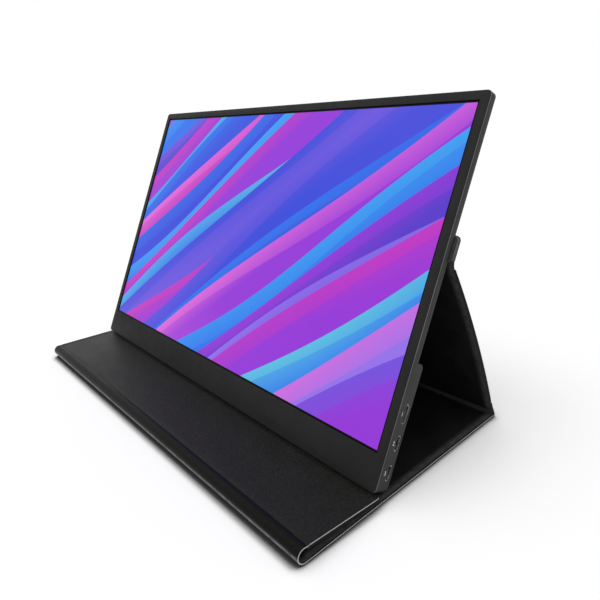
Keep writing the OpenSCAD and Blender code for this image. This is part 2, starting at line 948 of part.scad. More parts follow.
module main_board() {
    // Chips and coils from the board's lower inner corner: place, length, height, thickness
    chips = [
        [16, 45, 14, 14, 1.0], [40, 47, 10, 10, 0.9], [48, 21, 9, 9, 0.9],
        [26, 11, 6, 6, 1.8], [36, 9, 6, 6, 1.8], [60, 51, 5, 4, 1.2],
        [6, 21, 8, 12, 0.8], [34, 29, 5, 8, 0.8]
    ];
    color("#1d5a3a")
        in_monitor() {
            difference() {
                translate([board_x, board_y, -board_back])
                    cube([board_end - board_x, board_h, pcb_t]);
                for (y = [usb_upper_y, usb_lower_y])
                    board_notch(y, usb_w, usb_l + 1);
                board_notch(hdmi_y, hdmi_w, hdmi_l + 1);
                for (place = main_screw_places)
                    screw_hole(place, board_back);
            }
            for (c = chips)
                translate([board_x + c[0], board_y + c[1], -board_front])
                    cube([c[2], c[3], c[4]]);
            translate([cable_x - plug_w / 2, main_plug_y, -board_front])
                cube([plug_w, main_plug_h, plug_t]);
        }
}

// Hole for a screw through a board
module screw_hole(place, board_back) {
    translate([place[0], place[1], -board_back - cut])
        cylinder(h = pcb_t + 2 * cut, r = screw_r + layer_gap, $fn = 40);
}

module key_board() {
    color("#1d5a3a")
        in_monitor() {
            difference() {
                translate([-key_board_x, key_board_y0, -key_board_back])
                    cube([key_board_w, key_board_y1 - key_board_y0, pcb_t]);
                translate([-key_board_x - 1, jack_y - jack_body[1] / 2 - pocket_gap, -box_inner])
                    cube([jack_body[0] + 1, jack_body[1] + 2 * pocket_gap, jack_body[2]]);
                for (place = key_screw_places)
                    screw_hole(place, key_board_back);
            }
            // Side-facing switches behind the keys
            for (y = [power_y, rocker_y - rocker_l / 4, rocker_y + rocker_l / 4])
                translate([-switch_x, y - switch_w / 2, -key_board_front])
                    cube([switch_w, switch_w, switch_t]);
        }
}

// Flat cable along the floor of the box, from the key board to the main board
module key_cable() {
    x0 = -key_board_x + key_board_w - screw_in / 2;
    x1 = board_x + screw_in;
    color("#c9a15a")
        in_monitor()
            translate([x0, key_cable_y, -box_inner + layer_gap])
                cube([x1 - x0, key_cable_w, cable_t]);
}

// The tongue stands on a socket's closed back and stops short of its mouth
module tongue(back, mouth, y, w) {
    from = back + socket_back / 2;
    translate([from, y - w / 2, -port_z - tongue_t / 2])
        cube([mouth - tongue_in - from, w, tongue_t]);
}

module usb_c_sockets() {
    mouth = side_x - mouth_in;
    inner_w = usb_w - 2 * usb_metal;
    inner_h = usb_h - 2 * usb_metal;
    color("#b9bcc0")
        in_monitor()
            for (y = [usb_upper_y, usb_lower_y]) {
                difference() {
                    side_pill(mouth - usb_l, mouth, y, port_z, usb_w, usb_h);
                    side_pill(mouth - usb_l + socket_back, mouth + 1, y, port_z, inner_w, inner_h);
                }
                tongue(mouth - usb_l, mouth, y, usb_tongue_w);
            }
}

module mini_hdmi_socket() {
    mouth = side_x - mouth_in;
    color("#b9bcc0")
        in_monitor() {
            difference() {
                hdmi_run(mouth - hdmi_l, mouth);
                hdmi_run(mouth - hdmi_l + socket_back, mouth + 1, -usb_metal);
            }
            tongue(mouth - hdmi_l, mouth, hdmi_y, hdmi_tongue_w);
        }
}

module audio_jack() {
    mouth_x = -side_x + mouth_in;
    body_x = -side_x + wall_t + layer_gap;
    color("#1a1a1c")
        in_monitor()
            difference() {
                union() {
                    translate([body_x, jack_y - jack_body[1] / 2, -jack_z - jack_body[2] / 2])
                        cube(jack_body);
                    translate([mouth_x, jack_y, -jack_z])
                        rotate([0, 90, 0])
                            cylinder(h = body_x + pocket_gap - mouth_x, r = jack_nose_r, $fn = 48);
                }
                translate([mouth_x - 1, jack_y, -jack_z])
                    rotate([0, 90, 0])
                        cylinder(h = jack_l + 1, r = jack_r, $fn = 48);
            }
}

module speakers() {
    color("#222224")
        in_monitor()
            for (s = [-1, 1])
                translate([
                    s * speaker_x - speaker_l / 2,
                    speaker_y - speaker_h / 2,
                    -box_inner + layer_gap
                ])
                    cube([speaker_l, speaker_h, speaker_t]);
}

module screw(place, seat_front, shank_l) {
    translate([place[0], place[1], -seat_front])
        cylinder(h = screw_head_t, r = screw_head_r, $fn = 40);
    translate([place[0], place[1], -seat_front - shank_l])
        cylinder(h = shank_l, r = screw_r, $fn = 40);
}

module board_screws() {
    color("#c7c9cc")
        in_monitor() {
            for (place = main_screw_places)
                screw(place, board_front, screw_l);
            for (place = key_screw_places)
                screw(place, key_board_front, key_screw_l);
        }
}

// Monitor: keys on the left side face

// A pill that passes through the wall, with a flange behind it
module side_key(y, l) {
    side_pill(-side_x - key_out, -flange_x + flange_t / 2, y, port_z, l, key_h);
    side_pill(-flange_x, -flange_back_x, y, port_z, l + 2 * key_flange, key_h + key_flange);
}

module power_button() {
    color("#2a2a2c")
        in_monitor()
            side_key(power_y, power_l);
}

module menu_rocker() {
    color("#2a2a2c")
        in_monitor()
            side_key(rocker_y, rocker_l);
}

base_skin();
base_board();
base_lining();
front_fold();
flap_skin();
flap_board();
flap_lining();
flap_magnets();
rear_fold();
spine_board();
strut_skin();
strut_board();
strut_lining();
tab_crease();
tab_skin();
tab_board();
tab_lining();
tab_magnets();
rear_housing();
front_bezel();
bezel_tape();
display_cell();
film_stack();
light_guide();
reflector_sheet();
led_bar();
panel_tray();
tray_tape();
panel_board();
panel_cable();
main_board();
key_board();
key_cable();
usb_c_sockets();
mini_hdmi_socket();
audio_jack();
speakers();
board_screws();
power_button();
menu_rocker();
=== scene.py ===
import json
from math import atan2, cos, pi, radians, sin

import bmesh
import bpy
from mathutils import Matrix, Vector


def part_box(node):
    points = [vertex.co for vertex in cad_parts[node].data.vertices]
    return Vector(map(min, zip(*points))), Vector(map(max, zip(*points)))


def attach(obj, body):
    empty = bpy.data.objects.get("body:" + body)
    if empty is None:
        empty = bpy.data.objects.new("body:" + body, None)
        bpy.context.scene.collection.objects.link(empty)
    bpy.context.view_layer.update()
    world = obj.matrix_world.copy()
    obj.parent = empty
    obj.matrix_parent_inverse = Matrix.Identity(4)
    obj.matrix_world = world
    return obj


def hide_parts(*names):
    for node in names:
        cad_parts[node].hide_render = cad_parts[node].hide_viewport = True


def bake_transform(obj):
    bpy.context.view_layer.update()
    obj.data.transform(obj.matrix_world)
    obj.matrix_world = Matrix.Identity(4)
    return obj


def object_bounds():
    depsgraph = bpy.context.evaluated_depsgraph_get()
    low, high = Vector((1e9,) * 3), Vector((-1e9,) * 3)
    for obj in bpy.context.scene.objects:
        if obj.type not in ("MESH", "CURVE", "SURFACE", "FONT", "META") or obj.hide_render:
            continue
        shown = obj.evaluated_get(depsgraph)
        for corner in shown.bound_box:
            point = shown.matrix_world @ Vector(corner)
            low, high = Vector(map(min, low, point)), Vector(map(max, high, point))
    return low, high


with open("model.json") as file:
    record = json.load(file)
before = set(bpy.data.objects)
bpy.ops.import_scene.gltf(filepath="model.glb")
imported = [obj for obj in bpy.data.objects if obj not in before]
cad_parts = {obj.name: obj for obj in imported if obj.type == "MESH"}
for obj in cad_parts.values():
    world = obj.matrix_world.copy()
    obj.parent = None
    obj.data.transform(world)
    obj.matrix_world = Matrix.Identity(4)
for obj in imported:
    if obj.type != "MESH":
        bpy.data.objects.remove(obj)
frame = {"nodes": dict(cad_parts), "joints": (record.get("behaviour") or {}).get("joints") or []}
cad_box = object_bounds()
mm = 0.001


# Camera: it stands to the right of the screen, a little above its middle, turned a few degrees
camera_at = Vector((0.35145, -0.19547, 0.21659))
to_right = Vector((0.6433, 0.7564, -0.1183)).normalized()
to_top = Vector((-0.2084, 0.3217, 0.9236))
to_back = to_right.cross(to_top).normalized()
lens = bpy.data.cameras.new("camera")
lens.lens = 33.553
lens.sensor_width = 36
lens.clip_start = 10 * mm
camera = bpy.data.objects.new("camera", lens)
camera.matrix_world = Matrix.Translation(camera_at) @ Matrix(
    (to_right, to_back.cross(to_right), to_back)
).transposed().to_4x4()
bpy.context.scene.collection.objects.link(camera)
bpy.context.scene.camera = camera
bpy.context.scene.view_settings.view_transform = "Standard"


# Floor and light: a plain white studio floor that keeps the soft shadow, under one large softbox
# high on the left and an even white surround. Neither belongs to the object.
def shade(tree, kind, sockets=None, **settings):
    """Adds a shader node. A socket is given a number, a colour or another node's output."""
    made = tree.nodes.new("ShaderNode" + kind)
    for name, value in settings.items():
        setattr(made, name, value)
    for name, value in (sockets or {}).items():
        if isinstance(value, bpy.types.NodeSocket):
            tree.links.new(value, made.inputs[name])
        else:
            made.inputs[name].default_value = value
    return made


def calc(tree, operation, *terms, kind="Math"):
    """Works out one value from others, each a number or a node's output; VectorMath is for places."""
    return shade(tree, kind, dict(enumerate(terms)), operation=operation).outputs[0]


def spread(tree, value, low=0.3, high=0.7, to_low=0.0, to_high=1.0, **settings):
    """Carries a pattern's values from one range to another and holds them there."""
    return shade(tree, "MapRange", {"Value": value, "From Min": low, "From Max": high, "To Min": to_low,
                                    "To Max": to_high}, **settings).outputs["Result"]


def blend_colour(tree, factor, low, high):
    """Runs from one colour to another as a pattern goes from 0 to 1."""
    low, high = (end if hasattr(end, "links") else (*end, 1) for end in (low, high))
    return shade(tree, "Mix", {0: factor, 6: low, 7: high}, data_type="RGBA").outputs[2]


def seen_directly(tree):
    """1 for what the eye, a mirror or glass sees, and 0 for what only lights other things."""
    path = shade(tree, "LightPath").outputs
    eye = calc(tree, "MAXIMUM", path["Is Camera Ray"], path["Is Glossy Ray"])
    return calc(tree, "MAXIMUM", eye, path["Is Transmission Ray"])


def white(tree, kind, strength):
    """Plain white light of some strength."""
    return shade(tree, kind, {"Color": (1, 1, 1, 1), "Strength": strength}).outputs[0]


surround = bpy.data.worlds.new("surround")
surround.use_nodes = True
sky = surround.node_tree
sky.nodes.clear()
either = shade(sky, "MixShader", {0: seen_directly(sky), 1: white(sky, "Background", 0.82),
                                  2: white(sky, "Background", 1.0)})
shade(sky, "OutputWorld", {"Surface": either.outputs[0]})
bpy.context.scene.world = surround

softbox = bpy.data.lights.new("softbox", "AREA")
softbox.shape = "RECTANGLE"
softbox.size = softbox.size_y = 1.6
softbox.energy = 5
softbox_stand = bpy.data.objects.new("softbox", softbox)
softbox_stand.location = (-0.55, -0.45, 1.45)
softbox_stand.rotation_euler = (-softbox_stand.location).to_track_quat("-Z", "Y").to_euler()
bpy.context.scene.collection.objects.link(softbox_stand)

floor_below = 0.5 * mm
contact_reach = 7 * mm
shadow_reach = 0.13
bpy.ops.object.select_all(action="DESELECT")
bpy.ops.mesh.primitive_plane_add(size=12, location=(0, 0, cad_box[0].z - floor_below))
floor = bpy.context.active_object
floor.name = "floor"
floor_paint = bpy.data.materials.new("floor_paint")
floor_paint.use_nodes = True
paint = floor_paint.node_tree
paint.nodes.clear()
# Right beside the object the floor has a dark line of contact shadow
touch = shade(paint, "AmbientOcclusion", {"Distance": contact_reach}, samples=8).outputs["AO"]
free = spread(paint, touch, 0.6, 0.92)
chalk = shade(paint, "BsdfDiffuse", {"Color": blend_colour(paint, free, (0.06,) * 3, (0.86,) * 3)})
seen = seen_directly(paint)
lift = calc(paint, "MULTIPLY", calc(paint, "MULTIPLY", seen, 0.24), free)
near_floor = shade(paint, "AddShader", {0: chalk.outputs[0], 1: white(paint, "Emission", lift)})
# Past the object's shadow, the floor that is seen runs out into plain white
spot = calc(paint, "ABSOLUTE", shade(paint, "TexCoord").outputs["Object"], kind="VectorMath")
spot = calc(paint, "SUBTRACT", spot, (cad_box[1].x, cad_box[1].y, 0), kind="VectorMath")
spot = calc(paint, "MAXIMUM", spot, (0, 0, 0), kind="VectorMath")
past = shade(paint, "VectorMath", {0: spot}, operation="LENGTH").outputs["Value"]
away = spread(paint, past, 0, shadow_reach, interpolation_type="SMOOTHSTEP")
away = calc(paint, "MULTIPLY", calc(paint, "MULTIPLY", away, seen), free)
whole_floor = shade(paint, "MixShader", {0: away, 1: near_floor.outputs[0], 2: white(paint, "Emission", 1.0)})
shade(paint, "OutputMaterial", {"Surface": whole_floor.outputs[0]})
floor.data.materials.append(floor_paint)


# Outer cover at the front: one strip of black coated cloth with a pressed leather grain. It starts
# under the base's front edge, rolls round it and is glued to the flap's board, with a border pressed
# all round and a line where the board begins. Its cut edges show the pale cloth inside.
joints = {joint["name"]: joint for joint in frame["joints"]}


def on_side(joint):
    """The place of a joint's axis in the side view, y then z."""
    return Vector(joints[joint]["pos_m"][1:])


def panel_side(origin, heading):
    """Places a panel's own side view: y along the panel, z to the left of its heading."""
    along = Vector((cos(heading), sin(heading)))
    left = Vector((-sin(heading), cos(heading)))
    return lambda y, z: origin + y * along + z * left


def arc(centre, radius, start, end, steps):
    """Points of a bend in the side view, with angles from +Y towards +Z."""
    angles = [start + (end - start) * i / steps for i in range(steps + 1)]
    return [centre + radius * Vector((cos(a), sin(a))) for a in angles]


def tilt_of(node):
    """How far a flat node's widest face looks away from straight up, towards +Y."""
    widest = max(frame["nodes"][node].data.polygons, key=lambda face: face.area)
    up = widest.normal if widest.normal.z > 0 else -widest.normal
    return atan2(up.y, up.z)


def take(*pieces):
    """Closes any open mesh and selects these pieces only, the first as the active one."""
    if bpy.context.mode != "OBJECT":
        bpy.ops.object.mode_set(mode="OBJECT")
    bpy.ops.object.select_all(action="DESELECT")
    for piece in pieces:
        piece.select_set(True)
    if pieces:
        bpy.context.view_layer.objects.active = pieces[0]


def edit(piece):
    """Takes a piece and opens its mesh."""
    take(piece)
    bpy.ops.object.mode_set(mode="EDIT")


def pick(piece, kind, test):
    """Selects the vertices, edges or faces of an open mesh that pass a test."""
    bpy.context.tool_settings.mesh_select_mode = [kind == k for k in ("verts", "edges", "faces")]
    bpy.ops.mesh.select_all(action="DESELECT")
    shape = bmesh.from_edit_mesh(piece.data)
    for element in getattr(shape, kind):
        element.select_set(bool(test(element)))
    shape.select_flush_mode()
    bmesh.update_edit_mesh(piece.data)


def cut_line(place, normal):
    """Scores an open mesh all the way round, where a plane crosses it."""
    bpy.ops.mesh.select_all(action="SELECT")
    bpy.ops.mesh.bisect(plane_co=place, plane_no=normal)


def lay_map(piece, name, place):
    """Names a mesh's map and sets it from the place of each point."""
    piece.data.uv_layers.active.name = name
    for loop in piece.data.loops:
        at = piece.data.vertices[loop.vertex_index].co
        piece.data.uv_layers.active.data[loop.index].uv = place(at)


def modify(piece, kind, **settings):
    """Adds a modifier with its settings and applies it."""
    take(piece)
    made = piece.modifiers.new(kind.lower(), kind)
    for name, value in settings.items():
        setattr(made, name, value)
    bpy.ops.object.modifier_apply(modifier=made.name)


def cut_sheet(name, width, outline, corner_r=0, corners_at=1, rows=()):
    """Cuts a flat sheet as long as a side outline, rounds two corners and scores it at each bend.

    Its map keeps the flat place of each point in metres. rows are extra scored lines along it.
    """
    scores = [0]
    for here, there in zip(outline, outline[1:]):
        scores.append(scores[-1] + (there - here).length)
    length = scores[-1]
    take()
    bpy.ops.mesh.primitive_plane_add(size=1, location=(0, length / 2, 0))
    piece = bpy.context.active_object
    piece.name = piece.data.name = name
    piece.scale = (width, length, 1)
    bpy.ops.object.transform_apply()
    edit(piece)
    if corner_r:
        end = length * corners_at
        pick(piece, "verts", lambda v: abs(v.co.y - end) < mm)
        bpy.ops.mesh.bevel(offset=corner_r, segments=8, affect="VERTICES")
    for score in scores[1:-1]:
        cut_line((0, score, 0), (0, 1, 0))
    for row in rows:
        cut_line((row, 0, 0), (1, 0, 0))
    take(piece)
    lay_map(piece, "flat", lambda at: at.xy)
    return piece, [v.co.copy() for v in piece.data.vertices], scores


def press(piece, flat, depth, inside):
    """Presses the scored points that pass a test into the sheet while it is flat."""
    edit(piece)
    pick(piece, "verts", lambda v: inside(flat[v.index].x, flat[v.index].y))
    bpy.ops.transform.translate(value=(0, 0, -depth))
    take(piece)


def fold(piece, flat, outline, scores):
    """Lays the sheet at its first point and folds it at each score until it follows its outline."""
    edit(piece)
    bpy.ops.mesh.select_all(action="SELECT")
    bpy.ops.transform.translate(value=(0, *outline[0]))
    heading = 0
    for here, there, score in zip(outline, outline[1:], scores):
        ahead = atan2(there.y - here.y, there.x - here.x)
        turn = (ahead - heading + pi) % (2 * pi) - pi
        heading = ahead
        pick(piece, "verts", lambda v: flat[v.index].y > score - 0.001 * mm)
        bpy.ops.transform.rotate(value=-turn, orient_axis="X", orient_type="GLOBAL",
                                 center_override=(0, *here))
    take(piece)


def thicken(piece, thickness, *finishes):
    """Gives a folded sheet its thickness away from the side that shows. Each finish is followed by
    its rim's."""
    for made in finishes:
        piece.data.materials.append(made)
    modify(piece, "SOLIDIFY", thickness=thickness, offset=-1, use_even_offset=True,
           use_quality_normals=True, material_offset_rim=1)
    bpy.ops.object.shade_smooth_by_angle(angle=radians(30))


def finish(name, colour, roughness, specular=0.5, metallic=0.0, uv_map=None, **more):
    """A new finish with its shader's plain settings, and the place that its pattern follows."""
    made = bpy.data.materials.new(name)
    made.use_nodes = True
    tree = made.node_tree
    shader = tree.nodes["Principled BSDF"]
    plain = {"base_color": (*colour, 1), "roughness": roughness, "metallic": metallic, **more}
    for socket, value in plain.items():
        shader.inputs[socket.replace("_", " ").title()].default_value = value
    shader.inputs["Specular IOR Level"].default_value = specular
    if uv_map:
        return made, tree, shader, shade(tree, "UVMap", uv_map=uv_map).outputs["UV"]
    return made, tree, shader, shade(tree, "TexCoord").outputs["Object"]


def colour_by(tree, shader, pattern, low, high):
    """Colours a finish from one colour to another as a pattern goes from 0 to 1."""
    tree.links.new(blend_colour(tree, pattern, low, high), shader.inputs["Base Color"])


def dull_by(tree, shader, pattern, low, high):
    """Makes a finish rougher where a cloudy pattern is higher."""
    tree.links.new(spread(tree, pattern, 0.3, 0.7, low, high), shader.inputs["Roughness"])


def bump(tree, shader, height, distance):
    """Raises the surface by a pattern's height."""
    raised = shade(tree, "Bump", {"Height": height, "Distance": distance})
    tree.links.new(raised.outputs["Normal"], shader.inputs["Normal"])


def noise(tree, where, size, detail=2.0, roughness=0.5):
    """Cloudy pattern whose patches are about one size across, in metres."""
    return shade(tree, "TexNoise", {"Vector": where, "Scale": 1 / size, "Detail": detail,
                                    "Roughness": roughness}).outputs["Fac"]


def cells(tree, where, size, smoothness):
    """Rounded cells about one size across, in metres, low in the middle and high between them."""
    return shade(tree, "TexVoronoi", {"Vector": where, "Scale": 1 / size, "Smoothness": smoothness},
                 feature="SMOOTH_F1").outputs["Distance"]


def off_line(tree, place, middle):
    """How far along the sheet a place is from a line across it."""
    along = shade(tree, "SeparateXYZ", {0: place}).outputs["Y"]
    return calc(tree, "ABSOLUTE", calc(tree, "SUBTRACT", along, middle))


def leather_finish(name, low, high, grain_depth, roughness, specular, wear_and_highlight=None):
    """Grained coat over cloth. Between two places along the sheet it may carry a painted highlight of pale
    grey.
    """
    made, tree, shader, place = finish(name, high, roughness, specular, uv_map="flat",
                                       specular_tint=(1, 0.985, 0.87, 1))
    wander = shade(tree, "TexNoise", {"Vector": place, "Scale": 1 / (1.4 * mm), "Detail": 1.0})
    offset = calc(tree, "SUBTRACT", wander.outputs["Color"], (0.5, 0.5, 0.5), kind="VectorMath")
    strayed = calc(tree, "MULTIPLY_ADD", offset, (0.5 * mm,) * 3, place, kind="VectorMath")
    pebbles = cells(tree, strayed, 0.85 * mm, 0.35)
    pores = noise(tree, place, 0.22 * mm, 3)
    bump(tree, shader, calc(tree, "MULTIPLY_ADD", pebbles, -1.0, pores), grain_depth)
    rolling = noise(tree, place, 24 * mm, 3)
    dull_by(tree, shader, rolling, roughness - 0.04, roughness + 0.05)
    tone = calc(tree, "MULTIPLY", spread(tree, pebbles, 0.1, 0.6, 1.0, 0.1),
                spread(tree, rolling, 0.3, 0.7, 0.7, 1.15))
    # Painted highlight: a band of pale grey between the two places, broken up by a cloudy pattern.
    if wear_and_highlight:
        middle, reach = sum(wear_and_highlight) / 2, (wear_and_highlight[1] - wear_and_highlight[0]) / 2
        painted_highlight = spread(tree, off_line(tree, place, middle), reach * 0.3, reach, 1, 0)
        painted_highlight = calc(tree, "MULTIPLY", painted_highlight, spread(tree, noise(tree, place, 4 * mm, 4), 0.3, 0.6, 0.4, 1))
        colour_by(tree, shader, painted_highlight, blend_colour(tree, tone, low, high), (0.2, 0.2, 0.2))
    else:
        colour_by(tree, shader, tone, low, high)
    return made


def cut_edge_finish(name, pale_from):
    """Bare grey cloth from some place along the sheet, and edges inked black before it."""
    made, tree, shader, place = finish(name, (0.3, 0.3, 0.3), 0.8, specular=0.2, uv_map="flat")
    fibres = noise(tree, place, 0.5 * mm, 3)
    grey = blend_colour(tree, spread(tree, fibres), (0.34, 0.34, 0.335), (0.6, 0.6, 0.59))
    along = shade(tree, "SeparateXYZ", {0: place}).outputs["Y"]
    colour_by(tree, shader, spread(tree, along, pale_from - mm, pale_from + mm), (0.012,) * 3, grey)
    bump(tree, shader, fibres, 0.06 * mm)
    return made


leather = leather_finish("grained_black", (0.0106, 0.0105, 0.0099), (0.0290, 0.0287, 0.0275),
                         0.3 * mm, 0.4, 0.11)
base_low, base_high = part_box("base_board")
cover_w = base_high.x - base_low.x
front = on_side("flap_fold")
skin_t = base_low.z
fold_set = base_low.y - front.x
fold_r = front.y
flap_tilt = tilt_of("flap_skin")
in_flap = panel_side(front, -flap_tilt)
flap_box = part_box("flap_skin")
flap_l = (flap_box[1].y - front.x - fold_r * sin(flap_tilt)) / cos(flap_tilt)
panel_r = 3 * mm
groove_w = 1.1 * mm
groove_d = 0.24 * mm
border = 3.6 * mm
crease_line = [(-0.9, 0), (-0.45, 0.2), (0, 0.24), (0.45, 0.2), (0.9, 0)]
front_outline = [front + Vector((fold_set, -fold_r))]
front_outline += arc(front, fold_r, radians(270), radians(90) - flap_tilt, 28)
front_outline += [in_flap(fold_set + y * mm, fold_r - dip * mm) for y, dip in crease_line]
front_outline += [in_flap(y, fold_r) for y in (
    fold_set + 4 * mm, 0.4 * flap_l, 0.7 * flap_l, flap_l - panel_r - border,
    flap_l - border - groove_w / 2, flap_l - border, flap_l - border + groove_w / 2, flap_l)]
border_x = cover_w / 2 - border
border_rows = [side * (border_x - k * groove_w / 2) for side in (-1, 1) for k in (1, 0, -1)]
quarters = [0.25 * cover_w, 0, -0.25 * cover_w]
cover_front, flat, scores = cut_sheet("cover_front", cover_w, front_outline, panel_r,
                                      rows=border_rows + quarters)
board_from = scores[-1] - flap_l + fold_set
border_y = scores[-1] - border
tiny = 0.01 * mm
press(cover_front, flat, groove_d, lambda x, y: board_from - tiny < y < border_y + tiny and (
    abs(abs(x) - border_x) < tiny or (abs(y - border_y) < tiny and abs(x) < border_x)))
# Over the front roll the cloth is smoother where it is stretched, and its colour is darker as painted shade;
# low on the roll it carries a painted highlight of pale grey.
stretched_painted_shade = leather_finish("stretched_black", (0.003, 0.003, 0.0028), (0.008, 0.008, 0.0076),
                           0.06 * mm, 0.3, 0.06, wear_and_highlight=(fold_set + fold_r, fold_set + 1.9 * fold_r))
for face in cover_front.data.polygons:
    face.material_index = 2 if max(flat[i].y for i in face.vertices) < board_from - 0.4 * mm else 0
fold(cover_front, flat, front_outline, scores)
bare_edge = cut_edge_finish("cut_edge_front", -1)
thicken(cover_front, skin_t, leather, bare_edge, stretched_painted_shade, bare_edge)
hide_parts("front_fold", "flap_skin")
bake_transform(cover_front)


# Outer cover at the back: the same coated cloth in one length, glued under the base, folded up at
# the rear corner and on over the spine and the strut, with the spine's crease pressed in.
rear = on_side("strut_fold")
crease = on_side("tab_fold")
half_t = rear.y
strut_line = crease - rear
strut_l = strut_line.length
strut_heading = atan2(strut_line.y, strut_line.x)
in_strut = panel_side(rear, strut_heading)
crease_set = rear.x - base_high.y
spine_w = 7.6 * mm
spine_gap = 1.6 * mm
bow = 2.4 * mm
bow_start = crease_set + spine_w + spine_gap
strut_end = strut_l - crease_set


def bow_at(y):
    """How far the strut bows outwards at a place along it."""
    part = max(0, (y - bow_start) / (strut_l - bow_start))
    return 4 * bow * part * (1 - part)


strut_places = [strut_end + (bow_start - strut_end) * i / 20 for i in range(21)]
spine_places = [bow_start - spine_gap * part for part in (0.25, 0.75)]
spine_dip = 0.35 * mm
rear_outline = [in_strut(y, -half_t - bow_at(y)) for y in strut_places]
rear_outline += [in_strut(y, -half_t + spine_dip) for y in spine_places]
rear_outline += [in_strut(bow_start - spine_gap, -half_t), in_strut(crease_set, -half_t)]
rear_outline += arc(rear, half_t, strut_heading - radians(90), -radians(90), 10)
base_start = rear_outline[-1]
rear_outline += [Vector((y, 0)) for y in (rear.x - crease_set, rear.x - 20 * mm, 0, front.x + fold_set)]
cover_rear, flat, scores = cut_sheet("cover_rear", cover_w, rear_outline, rows=quarters)
fold(cover_rear, flat, rear_outline, scores)
thicken(cover_rear, skin_t, leather, cut_edge_finish("cut_edge_rear", scores[rear_outline.index(base_start)]))
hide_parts("base_skin", "rear_fold", "strut_skin")
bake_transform(cover_rear)


# Outer cover of the tab: the last length of coated cloth runs on from the strut, folds at the
# crease and covers the back of the tab that the magnets hold to the monitor.
def mitre(corner, one, other, offset):
    """The corner of a bent strip's face, a distance off the line through three places."""
    towards = ((one - corner).normalized() + (other - corner).normalized()).normalized()
    half = (one - corner).angle(towards)
    return corner + offset / sin(half) * towards


lean = atan2(joints["monitor_release"]["axis"][2], -joints["monitor_release"]["axis"][1])
screen_heading = radians(90) - lean
strip_h = skin_t
in_screen = panel_side(crease, screen_heading)
to_screen = Matrix.Rotation(-screen_heading, 2)


def side_reach(node):
    """Lowest and highest place of a node in the screen's own side view from the crease."""
    seen = [to_screen @ (Vector(v.co.yz) - crease) for v in frame["nodes"][node].data.vertices]
    return Vector((min(p.x for p in seen), min(p.y for p in seen))), Vector(
        (max(p.x for p in seen), max(p.y for p in seen)))


tab_low, tab_high = side_reach("tab_skin")
tab_back, tab_top = tab_low.y, tab_high.x
tab_front = side_reach("tab_lining")[1].y
strip_at_tab = in_screen(tab_low.x, tab_back + strip_h)
strip_at_strut = in_strut(strut_end, 0)
outer_corner = mitre(crease, strip_at_strut, strip_at_tab, strip_h)
tab_outline = [in_screen(y, tab_back) for y in (
    tab_top + skin_t, tab_top - panel_r, tab_low.x + 5 * mm, tab_low.x + 0.7 * mm)]
tab_outline += [in_screen(tab_low.x, tab_back + 0.15 * mm), outer_corner]
tab_outline += [in_strut(strut_end + 0.6 * mm, -strip_h), in_strut(strut_end, -half_t - bow_at(strut_end))]
cover_tab, flat, scores = cut_sheet("cover_tab", cover_w, tab_outline, panel_r, corners_at=0, rows=quarters)
fold(cover_tab, flat, tab_outline, scores)
cap = in_screen(0, tab_front) - in_screen(0, tab_back)
first_edge = {v.index for v in cover_tab.data.vertices if abs(flat[v.index].y) < tiny}
edit(cover_tab)
pick(cover_tab, "edges", lambda e: all(v.index in first_edge for v in e.verts))
bpy.ops.mesh.extrude_edges_move(TRANSFORM_OT_translate={"value": (0, *cap)})
take(cover_tab)
for loop in cover_tab.data.loops:
    if loop.vertex_index >= len(flat):
        cover_tab.data.uv_layers.active.data[loop.index].uv.y -= cap.length


def soften(piece, radius, segments, angle=40):
    """Rounds the edges of a piece that turn by more than an angle."""
    modify(piece, "BEVEL", width=radius, segments=segments, limit_method="ANGLE", angle_limit=radians(angle))


soften(cover_tab, 0.5 * mm, 3, 60)
thicken(cover_tab, skin_t, leather, cut_edge_finish("cut_edge_tab", 1))
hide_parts("tab_crease", "tab_skin")
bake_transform(cover_tab)


# Lining of the flap and the front roll: a thin matt black cloth glued inside the cover. It goes
# round the hollow of the roll and on over the underside of the flap.
def lining_finish(name, folds=()):
    """Matt cloth, with a painted highlight of pale grey over its folds and along its two sides, where it
    bends over the board.
    """
    made, tree, shader, place = finish(name, (0.005, 0.005, 0.0055), 0.7, 0.15, uv_map="flat")
    across = shade(tree, "SeparateXYZ", {0: place}).outputs["X"]
    # Painted highlight: pale grey along the two sides and over each fold, broken up by a cloudy pattern.
    painted_highlight = spread(tree, calc(tree, "ABSOLUTE", across), cover_w / 2 - 5 * mm, cover_w / 2 - 2 * mm, 0, 0.75)
    for middle, reach in folds:
        over_fold = spread(tree, off_line(tree, place, middle), reach * 0.6, reach, 1, 0)
        painted_highlight = calc(tree, "MAXIMUM", painted_highlight, over_fold)
    highlight_breakup = noise(tree, place, 5 * mm, 4, 0.6)
    painted_highlight = calc(tree, "MULTIPLY", painted_highlight, spread(tree, highlight_breakup, 0.25, 0.6, 0.35, 1))
    cloudy = noise(tree, place, 18 * mm, 3)
    black = blend_colour(tree, spread(tree, cloudy), (0.004, 0.004, 0.0042), (0.008, 0.008, 0.0082))
    colour_by(tree, shader, painted_highlight, black, (0.085, 0.085, 0.085))
    dull_by(tree, shader, cloudy, 0.6, 0.75)
    bump(tree, shader, noise(tree, place, 0.3 * mm, 3, 0.6), 0.08 * mm)
    return made


def dark_edge_finish():
    made, tree, shader, place = finish("lining_edge", (0.02, 0.02, 0.02), 0.85, specular=0.15)
    fibres = noise(tree, place, 0.3 * mm, 3)
    colour_by(tree, shader, fibres, (0.004,) * 3, (0.018,) * 3)
    bump(tree, shader, fibres, 0.1 * mm)
    return made


